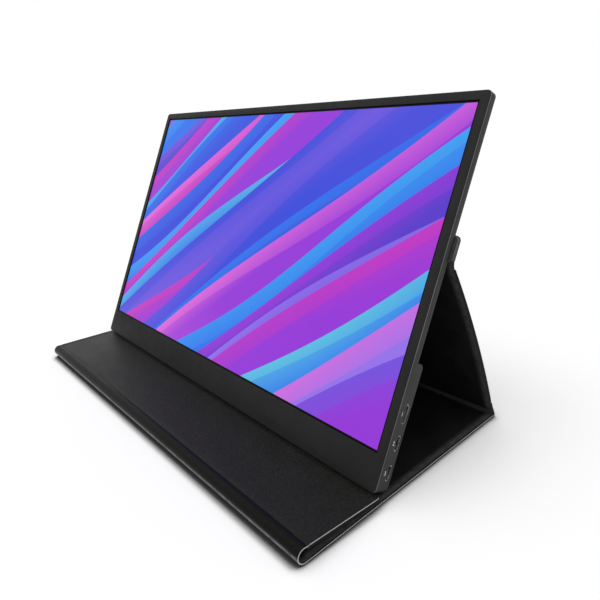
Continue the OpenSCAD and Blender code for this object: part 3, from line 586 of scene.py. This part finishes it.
lining = lining_finish("lining")
lining_edge = dark_edge_finish()
cover_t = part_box("base_lining")[1].z
lining_t = cover_t - base_high.z
strip_t = skin_t + lining_t
board_rise = cover_t - strip_t
roll_r = fold_r - strip_t
flap_under = fold_r - cover_t
flap_lining_outline = [in_flap(y, flap_under) for y in (flap_l, flap_l - panel_r, flap_l / 2, fold_set)]
flap_lining_outline += [in_flap(fold_set - 0.35 * mm, flap_under + 0.25 * mm),
                        in_flap(fold_set - 1.1 * mm, roll_r)]
flap_lining_outline += arc(front, roll_r, radians(90) - flap_tilt, radians(270), 28)
flap_lining_outline += [front + Vector((fold_set - 1.3 * mm, -roll_r))]
lining_flap, flat, scores = cut_sheet("lining_flap", cover_w, flap_lining_outline, panel_r, corners_at=0,
                                      rows=(0,))
fold(lining_flap, flat, flap_lining_outline, scores)
thicken(lining_flap, lining_t, lining, lining_edge)
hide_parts("flap_lining")
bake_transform(lining_flap)


# Lining of the base and the strut: the same matt cloth in one length. It dips where the boards
# stop, at the front, in the rear crease and at the spine, and is pressed onto the outer cover there.
base_lining_outline = [Vector((front.x + fold_set - 1.3 * mm, strip_t)),
                       Vector((front.x + fold_set - 0.1 * mm, cover_t))]
base_lining_outline += [Vector((y, cover_t)) for y in (-0.04, 0, 0.04, rear.x - crease_set - 6 * mm)]
crease_foot = in_strut(1.2 * mm, half_t - board_rise)
base_lining_outline += [rear + Vector((-crease_set, half_t)),
                        rear + Vector((-crease_set + 0.7 * mm, half_t - 0.5 * mm)),
                        rear + Vector((-1.2 * mm, half_t - board_rise)), crease_foot,
                        in_strut(crease_set - 0.7 * mm, half_t - 0.5 * mm),
                        in_strut(crease_set, half_t), in_strut(crease_set + spine_w, half_t)]
base_lining_outline += [in_strut(y, half_t - spine_dip) for y in reversed(spine_places)]
base_lining_outline += [in_strut(y, half_t - bow_at(y)) for y in reversed(strut_places)]
lining_base, flat, scores = cut_sheet("lining_base", cover_w, base_lining_outline, rows=quarters)
fold(lining_base, flat, base_lining_outline, scores)
crease_middle = scores[base_lining_outline.index(crease_foot)]
# This lining carries a painted highlight of pale grey over the rear crease.
thicken(lining_base, lining_t, lining_finish("lining_creased", [(crease_middle, 4.2 * mm)]), lining_edge)
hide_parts("base_lining", "strut_lining")
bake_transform(lining_base)


# Lining of the tab: it comes over the crease from the strut, wraps the lower end of the tab's
# board and lies against the monitor's back.
strip_heading = atan2((strip_at_tab - crease).y, (strip_at_tab - crease).x)
wrap = lining_t + 0.05 * mm
tab_lining_outline = [in_strut(strut_end, half_t - bow_at(strut_end)),
                      in_strut(strut_end + 0.6 * mm, strip_h)]
tab_lining_outline += arc(crease, strip_h, strut_heading + radians(90), strip_heading + radians(90), 5)
tab_lining_outline += [in_screen(tab_low.x - wrap, tab_back + strip_t),
                       in_screen(tab_low.x - wrap, tab_front - 0.4 * mm),
                       in_screen(tab_low.x - 0.3 * mm, tab_front)]
tab_lining_outline += [in_screen(y, tab_front) for y in (tab_low.x + 5 * mm, tab_top - panel_r, tab_top)]
lining_tab, flat, scores = cut_sheet("lining_tab", cover_w, tab_lining_outline, panel_r, rows=(0,))
fold(lining_tab, flat, tab_lining_outline, scores)
thicken(lining_tab, lining_t, lining, lining_edge)
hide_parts("tab_lining")
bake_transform(lining_tab)


# Boards: stiff pressed board inside each panel, dyed black, and left grey in the thick tab. Only
# their cut ends show, as layers of fibre between the lining and the outer cover.
def board_finish(name, dark, pale):
    made, tree, shader, place = finish(name, pale, 0.9, specular=0.15)
    layers = shade(tree, "Mapping", {"Vector": place, "Scale": (0.2, 0.35, 1.6)}).outputs[0]
    fibres = noise(tree, layers, 0.35 * mm, 4, 0.6)
    tone = calc(tree, "ADD", fibres, noise(tree, place, 5 * mm, 3))
    colour_by(tree, shader, spread(tree, tone, 0.75, 1.25), dark, pale)
    bump(tree, shader, fibres, 0.15 * mm)
    return made


def dress(made, *nodes):
    """Gives CAD nodes a finish."""
    for name in nodes:
        shape = frame["nodes"][name]
        shape.data.materials.clear()
        shape.data.materials.append(made)


dress(board_finish("black_board", (0.004,) * 3, (0.015,) * 3), "base_board", "flap_board", "spine_board",
      "strut_board")
dress(board_finish("grey_board", (0.045, 0.043, 0.04), (0.16, 0.152, 0.145)), "tab_board")


# Magnets: flat nickel-plated blocks glued into pockets of the boards, in the tab and in the flap.
def metal_finish(name, colour, roughness, size):
    made, tree, shader, place = finish(name, colour, roughness, metallic=1.0)
    wear_and_highlight = noise(tree, place, size, 4)
    dull_by(tree, shader, wear_and_highlight, roughness * 0.75, roughness * 1.3)
    colour_by(tree, shader, wear_and_highlight, tuple(part * 0.85 for part in colour), colour)
    bump(tree, shader, noise(tree, place, size / 6, 3), 0.01 * mm)
    return made


dress(metal_finish("nickel", (0.6, 0.58, 0.54), 0.3, 3 * mm), "flap_magnets", "tab_magnets")


# Monitor housing: one moulding of dark grey plastic with a fine spark texture. It is a shallow
# tray with a deeper box across its foot, and has holes for the sockets, the keys and the sound.
from_screen = Matrix.Rotation(radians(90) - lean, 4, "X")
to_face_up = from_screen.inverted()


def upright(node):
    """A monitor node's lowest and highest corners with the monitor turned face up."""
    seen = [to_face_up @ v.co for v in frame["nodes"][node].data.vertices]
    return (Vector(min(p[i] for p in seen) for i in range(3)),
            Vector(max(p[i] for p in seen) for i in range(3)))


shell_low, shell_high = upright("rear_housing")
bezel_low, bezel_high = upright("front_bezel")
cell_low, cell_high = upright("display_cell")
front_z = bezel_high.z
rim_z = shell_high.z
thin_z = front_z - 5.0 * mm
corner_r = 3 * mm
box_r = 3 * mm
edge_r = 1.2 * mm
rim_r = 0.3 * mm
wall_t = 1.4 * mm
shell_t = 1.0 * mm
dark_foot = 5.6 * mm
dark_side = 3.1 * mm
lit_foot = cell_low.y + dark_foot
box_top = lit_foot + 51.5 * mm


def settle(piece, smooth=0):
    """Turns a piece made face up to where the monitor stands, and smooths its rounded edges."""
    take(piece)
    bpy.ops.object.transform_apply()
    piece.data.transform(from_screen)
    piece.data.update()
    if smooth:
        bpy.ops.object.shade_smooth_by_angle(angle=radians(smooth))


def flat_block(name, low, high):
    """A plain block between two corners, opened for shaping."""
    low, high = Vector(low), Vector(high)
    take()
    bpy.ops.mesh.primitive_cube_add(size=1, location=(low + high) / 2)
    piece = bpy.context.active_object
    piece.name = piece.data.name = name
    piece.scale = high - low
    bpy.ops.object.transform_apply()
    edit(piece)
    return piece


def near(value, target):
    return abs(value - target) < 0.02 * mm


def runs(axis):
    """A test for the edges that run along an axis."""
    return lambda e: abs(e.verts[0].co[axis] - e.verts[1].co[axis]) > mm / 10


def round_edges(piece, radius, segments, test, **settings):
    """Bevels the edges of an open mesh that pass a test."""
    pick(piece, "edges", test)
    bpy.ops.mesh.bevel(offset=radius, segments=segments, affect="EDGES", **settings)


def pill(centre, length, height, x0, x1, round_end=True):
    """A pill or a box drawn along x, long up the screen and high across the side face."""
    y, z = centre
    piece = flat_block("pill", (x0, y - length / 2, z - height / 2), (x1, y + length / 2, z + height / 2))
    if round_end:
        round_edges(piece, height / 2 - 0.002 * mm, 10, runs(0))
    take(piece)
    return piece


def carve(piece, tool, operation="DIFFERENCE"):
    """Cuts one piece with another and throws the tool away."""
    modify(piece, "BOOLEAN", object=tool, operation=operation, solver="EXACT")
    bpy.data.objects.remove(tool)


def join(name, parts):
    """Makes several meshes one piece."""
    take(*parts)
    bpy.ops.object.join()
    bpy.ops.object.transform_apply()
    parts[0].name = parts[0].data.name = name
    return parts[0]


def coat(piece, finishes, number):
    """Gives a piece its finishes, and each face the one of some number."""
    for made in finishes:
        piece.data.materials.append(made)
    for face in piece.data.polygons:
        face.material_index = int(number(face))


def plastic_finish(name, dark, pale, grain, roughness, specular=0.25):
    made, tree, shader, place = finish(name, pale, roughness, specular)
    colour_by(tree, shader, spread(tree, noise(tree, place, 40 * mm, 3)), dark, pale)
    dull_by(tree, shader, noise(tree, place, 9 * mm, 4, 0.6), roughness - 0.05, roughness + 0.06)
    sparks = cells(tree, place, grain, 0.6)
    bump(tree, shader, calc(tree, "ADD", sparks, noise(tree, place, grain * 0.5, 3)), 0.03 * mm)
    return made


housing = flat_block("housing", (*shell_low.xy, thin_z), (*shell_high.xy, rim_z + mm))
cut_line((0, box_top, 0), (0, 1, 0))
pick(housing, "faces", lambda f: f.normal.z < -0.9 and f.calc_center_median().y < box_top)
bpy.ops.mesh.extrude_region_move(TRANSFORM_OT_translate={"value": (0, 0, shell_low.z - thin_z)})


def edge_at(y, z):
    return lambda e: all(near(v.co.y, y) and near(v.co.z, z) for v in e.verts)


foot_edge, head_edge = edge_at(shell_low.y, shell_low.z), edge_at(shell_high.y, thin_z)
round_edges(housing, box_r, 8, edge_at(box_top, shell_low.z))
round_edges(housing, edge_r, 5, lambda e: foot_edge(e) or head_edge(e))
round_edges(housing, 0.6 * mm, 3, edge_at(box_top, thin_z))
outline_block = flat_block("outline_block", shell_low - Vector((0, 0, mm)), shell_high)
round_edges(outline_block, corner_r, 8, runs(2))
round_edges(outline_block, rim_r, 3, lambda e: all(near(v.co.z, rim_z) for v in e.verts))
carve(housing, outline_block, "INTERSECT")
edit(housing)
round_edges(housing, 0.3 * mm, 2, lambda e: e.calc_length() > 20 * mm and len(e.link_faces) == 2 and all(
    abs(abs(v.co.x) - shell_high.x) < tiny and v.co.z < thin_z + tiny for v in e.verts), clamp_overlap=True)
cavity_top = box_top - box_r
for low_y, high_y, low_z in ((shell_low.y + wall_t, cavity_top, shell_low.z + shell_t),
                             (cavity_top - mm, shell_high.y - wall_t, thin_z + shell_t)):
    carve(housing, flat_block("hollow", (shell_low.x + wall_t, low_y, low_z),
                              (shell_high.x - wall_t, high_y, front_z)))

key_z = port_z = front_z - 7.6 * mm
jack_place = (lit_foot - 8 * mm, front_z - 7.0 * mm)
flat_y = lit_foot + 23.1 * mm
round_ys = [lit_foot + 6.6 * mm, lit_foot - 10.3 * mm]
power_y = lit_foot + 38 * mm
rocker_y = lit_foot + 17 * mm
round_w, round_h = 8.94 * mm, 3.16 * mm
power_l, rocker_l, key_h = 9 * mm, 16 * mm, 2.4 * mm
jack_hole_d = 5.6 * mm
socket_gap = 0.2 * mm
key_gap = 0.3 * mm
right_x, left_x = shell_high.x, shell_low.x
in_right, in_left = (right_x - 3 * mm, right_x + mm), (left_x - mm, left_x + 3 * mm)
for y in round_ys:
    carve(housing, pill((y, port_z), round_w + 2 * socket_gap, round_h + 2 * socket_gap, *in_right))
for y, length in ((power_y, power_l), (rocker_y, rocker_l)):
    carve(housing, pill((y, key_z), length + 2 * key_gap, key_h + 2 * key_gap, *in_left))
carve(housing, pill(jack_place, jack_hole_d, jack_hole_d, *in_left))


def flat_socket_block(grow, x0, x1):
    """A block with the outline of the flat-topped socket, with two corners cut away."""
    width, height = 11.0 * mm + 2 * grow, 3.1 * mm + 2 * grow
    piece = pill((flat_y, port_z), width, height, x0, x1, round_end=False)
    edit(piece)
    round_edges(piece, 0.42 * height, 1, lambda e: all(v.co.z < port_z for v in e.verts) and runs(0)(e))
    round_edges(piece, 0.25 * mm, 3, runs(0))
    take(piece)
    return piece


carve(housing, flat_socket_block(socket_gap, *in_right))
speaker_low, speaker_high = upright("speakers")
speaker_x = speaker_high.x - 20 * mm
slot_y = (speaker_low.y + speaker_high.y) / 2
slot_r, slot_l, slot_pitch = 0.6 * mm, 7.2 * mm, 4 * mm
slots = []
for side in (-1, 1):
    for i in range(-4, 5):
        slot = flat_block("slot", (-slot_r, slot_y - slot_l / 2, shell_low.z - mm),
                          (slot_r, slot_y + slot_l / 2, shell_low.z + 2 * mm))
        round_edges(slot, slot_r - 0.002 * mm, 6, runs(2))
        slot.location.x = side * speaker_x + i * slot_pitch
        slots.append(slot)
carve(housing, join("slots", slots))
housing_plastic = plastic_finish("housing_plastic", (0.025, 0.025, 0.0254), (0.032, 0.032, 0.0325),
                                 0.4 * mm, 0.56)
# Painted highlight: the rounded front edge of the rim is coloured pale grey and made glossier, so that a
# bright line runs round it.
rubbed_rim = plastic_finish("rubbed_rim", (0.07,) * 3, (0.15,) * 3, 0.6 * mm, 0.35, 0.5)
coat(housing, (housing_plastic, rubbed_rim),
     lambda face: rim_z - rim_r < face.center.z < rim_z - tiny and 0.15 < face.normal.z < 0.98)
settle(housing, 30)
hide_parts("rear_housing")
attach(housing, "monitor")


# Front bezel: a thin dark plastic frame, stuck and clipped to the housing's rim a quarter of a
# millimetre inside its edge. A small chamfer runs round it and round its opening.
bezel = flat_block("bezel", bezel_low, bezel_high)
round_edges(bezel, corner_r - 0.25 * mm, 8, runs(2))
mask_w = 1.2 * mm
lit_w = cell_high.x - cell_low.x - 2 * dark_side
lit_h = cell_high.y - dark_side - lit_foot
carve(bezel, flat_block("window", (-lit_w / 2 - mask_w, lit_foot - mask_w, bezel_low.z - mm),
                        (lit_w / 2 + mask_w, lit_foot + lit_h + mask_w, bezel_high.z + mm)))
soften(bezel, 0.14 * mm, 2)
# The bezel's plastic is a darker, less glossy copy of the housing's, as painted shade on the monitor's front
# face.
bezel_plastic = plastic_finish("bezel_plastic", (0.0135, 0.0135, 0.0137), (0.0175, 0.0175, 0.0178),
                               0.3 * mm, 0.6, 0.13)
# Painted shade: the bezel's thin side walls, round its outside and its opening, are coloured near black, so
# that a dark line shows along the housing's rim.
bezel_side = plastic_finish("bezel_side", (0.003,) * 3, (0.006,) * 3, 0.3 * mm, 0.6, 0.2)
coat(bezel, (bezel_plastic, bezel_side), lambda face: abs(face.normal.z) < 0.3)
settle(bezel, 30)
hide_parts("front_bezel")
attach(bezel, "monitor")


# Display: a matt glass cell behind the bezel. Its lit middle shows a plain design of flowing
# ribbons in blues, violets and pinks, and a black mask runs round it up to the bezel.
def srgb(*parts):
    """A colour given in the 0 to 255 steps of a screen."""
    return tuple((part / 255 / 12.92) if part <= 10 else ((part / 255 + 0.055) / 1.055) ** 2.4
                 for part in parts)


def picture_finish():
    made, tree, shader, place = finish("lit_screen", (0.003, 0.003, 0.003), 0.42, 0.14, uv_map="picture",
                                       emission_strength=1.0)
    across, up = shade(tree, "SeparateXYZ", {0: place}).outputs[:2]

    def value(operation, *terms):
        return calc(tree, operation, *terms)

    deep_blue, blue, sky_blue = srgb(52, 70, 216), srgb(38, 112, 234), srgb(56, 158, 238)
    teal, dusk, violet, lilac = srgb(90, 190, 222), srgb(86, 54, 200), srgb(108, 82, 220), srgb(148, 112, 232)
    purple, magenta, pink = srgb(146, 50, 214), srgb(194, 48, 190), srgb(224, 104, 214)
    # The ribbons run up to the right. Each starts off to one side, slopes and swings as it runs,
    # and shades from its upper edge across its depth, with one crease on the way
    run = radians(38)
    along = value("MULTIPLY_ADD", across, cos(run), value("MULTIPLY", up, sin(run)))
    off = value("SUBTRACT", value("MULTIPLY", up, cos(run)), value("MULTIPLY", across, sin(run)))
    drifts = [spread(tree, value("SINE", value("MULTIPLY_ADD", along, 2.1, shift)), -1, 1, 0, 0.45)
              for shift in (0.4, 2.5, 4.4)]
    ribbons = [
        (0.72, 0.03, 0.020, 2.6, 0.3, sky_blue, blue, 0.10),
        (0.64, -0.02, 0.030, 3.1, 1.2, violet, dusk, 0.09),
        (0.55, 0.04, 0.025, 2.4, 2.6, magenta, purple, 0.10),
        (0.49, -0.02, 0.035, 2.9, 4.0, teal, blue, 0.09),
        (0.41, 0.03, 0.030, 3.3, 5.1, blue, deep_blue, 0.10),
        (0.36, -0.03, 0.025, 2.2, 0.8, pink, magenta, 0.07),
        (0.28, 0.03, 0.030, 2.8, 2.0, blue, deep_blue, 0.10),
        (0.21, -0.02, 0.035, 3.0, 3.4, sky_blue, blue, 0.10),
        (0.13, 0.02, 0.020, 2.5, 4.6, magenta, purple, 0.08),
        (0.07, -0.03, 0.035, 3.2, 5.8, teal, blue, 0.08),
        (-0.01, 0.03, 0.025, 2.3, 1.0, deep_blue, violet, 0.10),
        (-0.07, -0.03, 0.035, 2.9, 2.3, magenta, purple, 0.09),
        (-0.15, 0.03, 0.030, 3.1, 3.7, violet, deep_blue, 0.10),
        (-0.22, -0.02, 0.030, 2.6, 5.0, blue, deep_blue, 0.09),
        (-0.29, 0.02, 0.035, 2.4, 0.2, pink, purple, 0.09),
        (-0.37, -0.01, 0.030, 3.3, 1.6, sky_blue, blue, 0.10),
        (-0.45, -0.01, 0.025, 2.7, 3.0, purple, dusk, 0.09),
        (-0.52, -0.02, 0.035, 2.9, 4.3, lilac, violet, 0.10),
        (-0.60, 0.03, 0.030, 2.5, 5.5, magenta, purple, 0.10),
        (-0.68, 0.01, 0.035, 2.8, 0.9, teal, blue, 0.10),
        (-0.78, 0.01, 0.030, 2.6, 2.2, pink, lilac, 0.10),
        (-0.87, -0.02, 0.030, 3.0, 3.6, violet, purple, 0.12),
    ]
    colour = blend_colour(tree, drifts[0], violet, lilac)
    for i, (start, slope, swing, waves, shift, near_edge, far_edge, depth) in enumerate(ribbons):
        wave = value("SINE", value("MULTIPLY_ADD", along, waves, shift))
        edge = value("MULTIPLY_ADD", wave, swing, value("MULTIPLY_ADD", along, slope, start))
        below = value("SUBTRACT", edge, off)
        creased = value("MULTIPLY_ADD", drifts[i % 3], 0.08, 0.35 * depth)
        shaded = value("ADD", spread(tree, below, 0, depth, 0, 0.5), value("MULTIPLY", 0.3, spread(
            tree, value("SUBTRACT", below, creased), -0.0012, 0.0012, 0, 1)))
        ribbon = blend_colour(tree, value("ADD", shaded, drifts[i % 3]), near_edge, far_edge)
        colour = blend_colour(tree, spread(tree, below, -0.0012, 0.0012, 0, 1), colour, ribbon)
    tree.links.new(colour, shader.inputs["Emission Color"])
    bump(tree, shader, noise(tree, place, 2 * mm), 0.004 * mm)
    return made


def mask_finish():
    made, tree, shader, place = finish("screen_mask", (0.001, 0.001, 0.0012), 0.35, specular=0.06)
    fine = noise(tree, place, 0.3 * mm)
    dull_by(tree, shader, fine, 0.32, 0.4)
    bump(tree, shader, fine, 0.004 * mm)
    return made


screen = flat_block("screen", cell_low, cell_high)
for x in (-lit_w / 2, lit_w / 2):
    cut_line((x, 0, 0), (1, 0, 0))
for y in (lit_foot, lit_foot + lit_h):
    cut_line((0, y, 0), (0, 1, 0))
soften(screen, 0.1 * mm, 2)
coat(screen, (mask_finish(), picture_finish()), lambda face: face.normal.z > 0.9 and abs(
    face.center.x) < lit_w / 2 and lit_foot < face.center.y < lit_foot + lit_h)
lay_map(screen, "picture", lambda at: ((at.x + lit_w / 2) / lit_h, (at.y - lit_foot) / lit_h))
settle(screen)
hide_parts("display_cell")
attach(screen, "monitor")


# Layers behind the glass: tape, optical films, acrylic light guide, reflector, a strip of lamps,
# the pressed steel tray that the magnets pull on, and the tape that holds it in the housing.
def sheet_finish(name, colour, roughness, specular=0.4, size=2 * mm):
    made, tree, shader, place = finish(name, colour, roughness, specular)
    cloudy = noise(tree, place, size, 3)
    colour_by(tree, shader, cloudy, tuple(part * 0.9 for part in colour), colour)
    dull_by(tree, shader, cloudy, roughness * 0.85, roughness * 1.1)
    bump(tree, shader, noise(tree, place, size / 8), 0.01 * mm)
    return made


def striped_finish(name, roughness, pitch, low, high, ground, stripe):
    """Even stripes across x, with a soft edge between two distances from their middles."""
    made, tree, shader, place = finish(name, ground, roughness)
    across = calc(tree, "PINGPONG", shade(tree, "SeparateXYZ", {0: place}).outputs["X"], pitch)
    colour_by(tree, shader, spread(tree, across, low, high, 1, 0), ground, stripe)
    return made


dress(sheet_finish("black_tape", (0.012,) * 3, 0.7), "bezel_tape", "tray_tape")
dress(sheet_finish("optical_film", (0.75, 0.77, 0.8), 0.25), "film_stack")
dress(sheet_finish("clear_acrylic", (0.7, 0.76, 0.8), 0.08, 0.5, 20 * mm), "light_guide")
dress(sheet_finish("white_reflector", (0.88,) * 3, 0.4), "reflector_sheet")
dress(metal_finish("tray_steel", (0.42, 0.43, 0.44), 0.35, 12 * mm), "panel_tray")
dress(striped_finish("lamp_strip", 0.4, 6 * mm, 1.6 * mm, 1.8 * mm, (0.78, 0.78, 0.76),
                     (0.85, 0.62, 0.12)), "led_bar")


# Electronics in the box at the monitor's foot: green circuit boards, flat cables, speakers and
# the small steel screws that hold the boards to the housing.
def circuit_finish():
    made, tree, shader, place = finish("circuit_board", (0.01, 0.09, 0.035), 0.35)
    tracks = shade(tree, "TexVoronoi", {"Vector": place, "Scale": 1 / (1.6 * mm)}, distance="CHEBYCHEV",
                   feature="DISTANCE_TO_EDGE").outputs["Distance"]
    copper = spread(tree, tracks, 0.04, 0.08, 1, 0)
    colour_by(tree, shader, copper, (0.008, 0.07, 0.03), (0.02, 0.16, 0.07))
    bump(tree, shader, copper, 0.02 * mm)
    return made


dress(circuit_finish(), "panel_board", "main_board", "key_board")
dress(striped_finish("flat_cable", 0.35, 0.5 * mm, 0.2 * mm, 0.26 * mm, (0.45, 0.26, 0.07),
                     (0.62, 0.36, 0.16)), "panel_cable", "key_cable")
dress(metal_finish("screw_steel", (0.55, 0.55, 0.56), 0.28, 2 * mm), "board_screws")
dress(plastic_finish("speaker_plastic", (0.008,) * 3, (0.014,) * 3, 0.5 * mm, 0.5), "speakers")


# Round-ended sockets: each is a drawn steel shell with a rolled lip, with a black plastic tongue
# inside that carries a row of gilt contacts. Both are soldered to the main board.
steel = metal_finish("socket_steel", (0.56, 0.57, 0.58), 0.3, 2 * mm)
black_plastic = plastic_finish("black_plastic", (0.008, 0.008, 0.009), (0.014, 0.014, 0.015), 0.3 * mm, 0.45)
gilt = metal_finish("gilt", (0.8, 0.56, 0.22), 0.25, mm)
mouth_x = right_x - 0.3 * mm
metal_t = 0.3 * mm
end_t = 0.8 * mm
tongue_h = 0.7 * mm
tongue_foot = 0.7 * mm
contact_w = 0.26 * mm
contact_proud = 0.03 * mm


def socket_parts(shell, length, centre, tongue_w, set_back, count, pitch):
    """Opens a shell by drawing its end face in and pushing it back, and adds what is inside."""
    edit(shell)
    pick(shell, "faces", lambda f: near(f.calc_center_median().x, mouth_x) and abs(f.normal.x) > 0.9)
    bpy.ops.mesh.inset(thickness=metal_t)
    bpy.ops.mesh.extrude_region_move(TRANSFORM_OT_translate={"value": (end_t - length, 0, 0)})
    soften(shell, 0.09 * mm, 3, 50)
    shell.data.materials.append(steel)
    foot_x, tip_x = mouth_x - length + tongue_foot, mouth_x - set_back
    tongue = pill(centre, tongue_w, tongue_h, foot_x, tip_x, round_end=False)
    soften(tongue, 0.12 * mm, 2)
    tongue.data.materials.append(black_plastic)
    y, z = centre[0] - (pitch * (count - 1) + contact_w) / 2, centre[1]
    reach = tongue_h / 2 + contact_proud
    contacts = flat_block("contacts", (foot_x + 0.5 * mm, y, z - reach),
                          (tip_x - 0.5 * mm, y + contact_w, z + reach))
    modify(contacts, "ARRAY", count=count, use_relative_offset=False, use_constant_offset=True,
           constant_offset_displace=(0, pitch, 0))
    contacts.data.materials.append(gilt)
    return [shell, tongue, contacts]


round_l = 7.3 * mm
parts = []
for y in round_ys:
    shell = pill((y, port_z), round_w, round_h, mouth_x - round_l, mouth_x)
    parts += socket_parts(shell, round_l, (y, port_z), 6.7 * mm, 1.2 * mm, 12, 0.5 * mm)
round_sockets = join("round_sockets", parts)
settle(round_sockets, 35)
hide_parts("usb_c_sockets")
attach(round_sockets, "monitor")


# Flat-topped socket: the same build with a wider shell whose two lower corners are cut away.
flat_l = 8 * mm
shell = flat_socket_block(0, mouth_x - flat_l, mouth_x)
flat_socket = join("flat_socket", socket_parts(shell, flat_l, (flat_y, port_z + 0.25 * mm), 7.6 * mm,
                                               1.4 * mm, 10, 0.7 * mm))
settle(flat_socket, 35)
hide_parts("mini_hdmi_socket")
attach(flat_socket, "monitor")


# Socket numbers: plain numerals printed in pale grey ink beside the three sockets.
def ink_finish():
    made, tree, shader, place = finish("pale_ink", (0.5, 0.5, 0.5), 0.6)
    colour_by(tree, shader, noise(tree, place, 0.4 * mm, 3), (0.6,) * 3, (0.85,) * 3)
    return made


numerals = []
for numeral, y in zip("123", [flat_y, *round_ys]):
    take()
    bpy.ops.object.text_add()
    text = bpy.context.active_object
    text.data.body = numeral
    text.data.size = 3.4 * mm
    text.data.extrude = 0.01 * mm
    text.data.align_x = text.data.align_y = "CENTER"
    text.rotation_euler = (0, pi / 2, 0)
    text.location = (right_x + 0.01 * mm, y, port_z + 3.6 * mm)
    bpy.ops.object.convert(target="MESH")
    numerals.append(bpy.context.active_object)
socket_numbers = join("socket_numbers", numerals)
socket_numbers.data.materials.clear()
socket_numbers.data.materials.append(ink_finish())
settle(socket_numbers)
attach(socket_numbers, "monitor")


# Headphone socket: a black plastic barrel behind the left wall, whose collar fills the hole and
# holds a thin turned steel ring, with a straight bore for the plug.
jack_bore_d = 3.6 * mm
ring_d = 4.4 * mm
collar_d = 5.2 * mm
collar_l = 2.4 * mm
bore_l = 14 * mm
jack_mouth = left_x + 0.3 * mm
jack_body_low, jack_body_high = upright("audio_jack")


def turned(diameter, start, end):
    """A round bar on the plug's line, between two depths behind the socket's mouth."""
    return pill(jack_place, diameter, diameter, jack_mouth + start, jack_mouth + end)


ring = turned(ring_d, -0.1 * mm, collar_l)
carve(ring, turned(jack_bore_d, -mm, collar_l + mm))
collar = turned(collar_d, 0, collar_l)
carve(collar, turned(ring_d, -mm, collar_l + mm))
barrel = flat_block("barrel", (left_x + wall_t + 0.05 * mm, *jack_body_low.yz), jack_body_high)
carve(barrel, turned(jack_bore_d, -mm, bore_l))
for part, made in ((ring, steel), (collar, black_plastic), (barrel, black_plastic)):
    soften(part, 0.12 * mm, 2)
    part.data.materials.append(made)
headphone_socket = join("headphone_socket", [ring, collar, barrel])
settle(headphone_socket, 35)
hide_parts("audio_jack")
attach(headphone_socket, "monitor")


# Keys: two moulded buttons that stand a little out of the left side face, each with a flange
# behind the wall that keeps it in. A raised pip marks the power button and two bars the rocker.
key_plastic = plastic_finish("key_plastic", (0.018, 0.018, 0.019), (0.026, 0.026, 0.027), 0.3 * mm, 0.42)


def key(name, node, y, length, marks):
    low, high = upright(node)
    cap = pill((y, key_z), length, key_h, low.x, low.x + 3.2 * mm)
    soften(cap, 0.3 * mm, 4, 50)
    flange = pill((y, key_z), length + 1.8 * mm, 3.3 * mm, high.x - 0.8 * mm, high.x)
    raised = [pill((y + at, key_z), size, 0.6 * mm, low.x - 0.12 * mm, low.x + 0.4 * mm)
              for at, size in marks]
    for mark in raised:
        soften(mark, 0.08 * mm, 2, 50)
    piece = join(name, [cap, flange, *raised])
    piece.data.materials.append(key_plastic)
    settle(piece, 35)
    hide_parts(node)
    return piece


power_key = key("power_key", "power_button", power_y, power_l, [(0, 0.62 * mm)])
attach(power_key, "power_key")
menu_key = key("menu_key", "menu_rocker", rocker_y, rocker_l, [(-5 * mm, 2 * mm), (5 * mm, 2 * mm)])
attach(menu_key, "rocker_key")
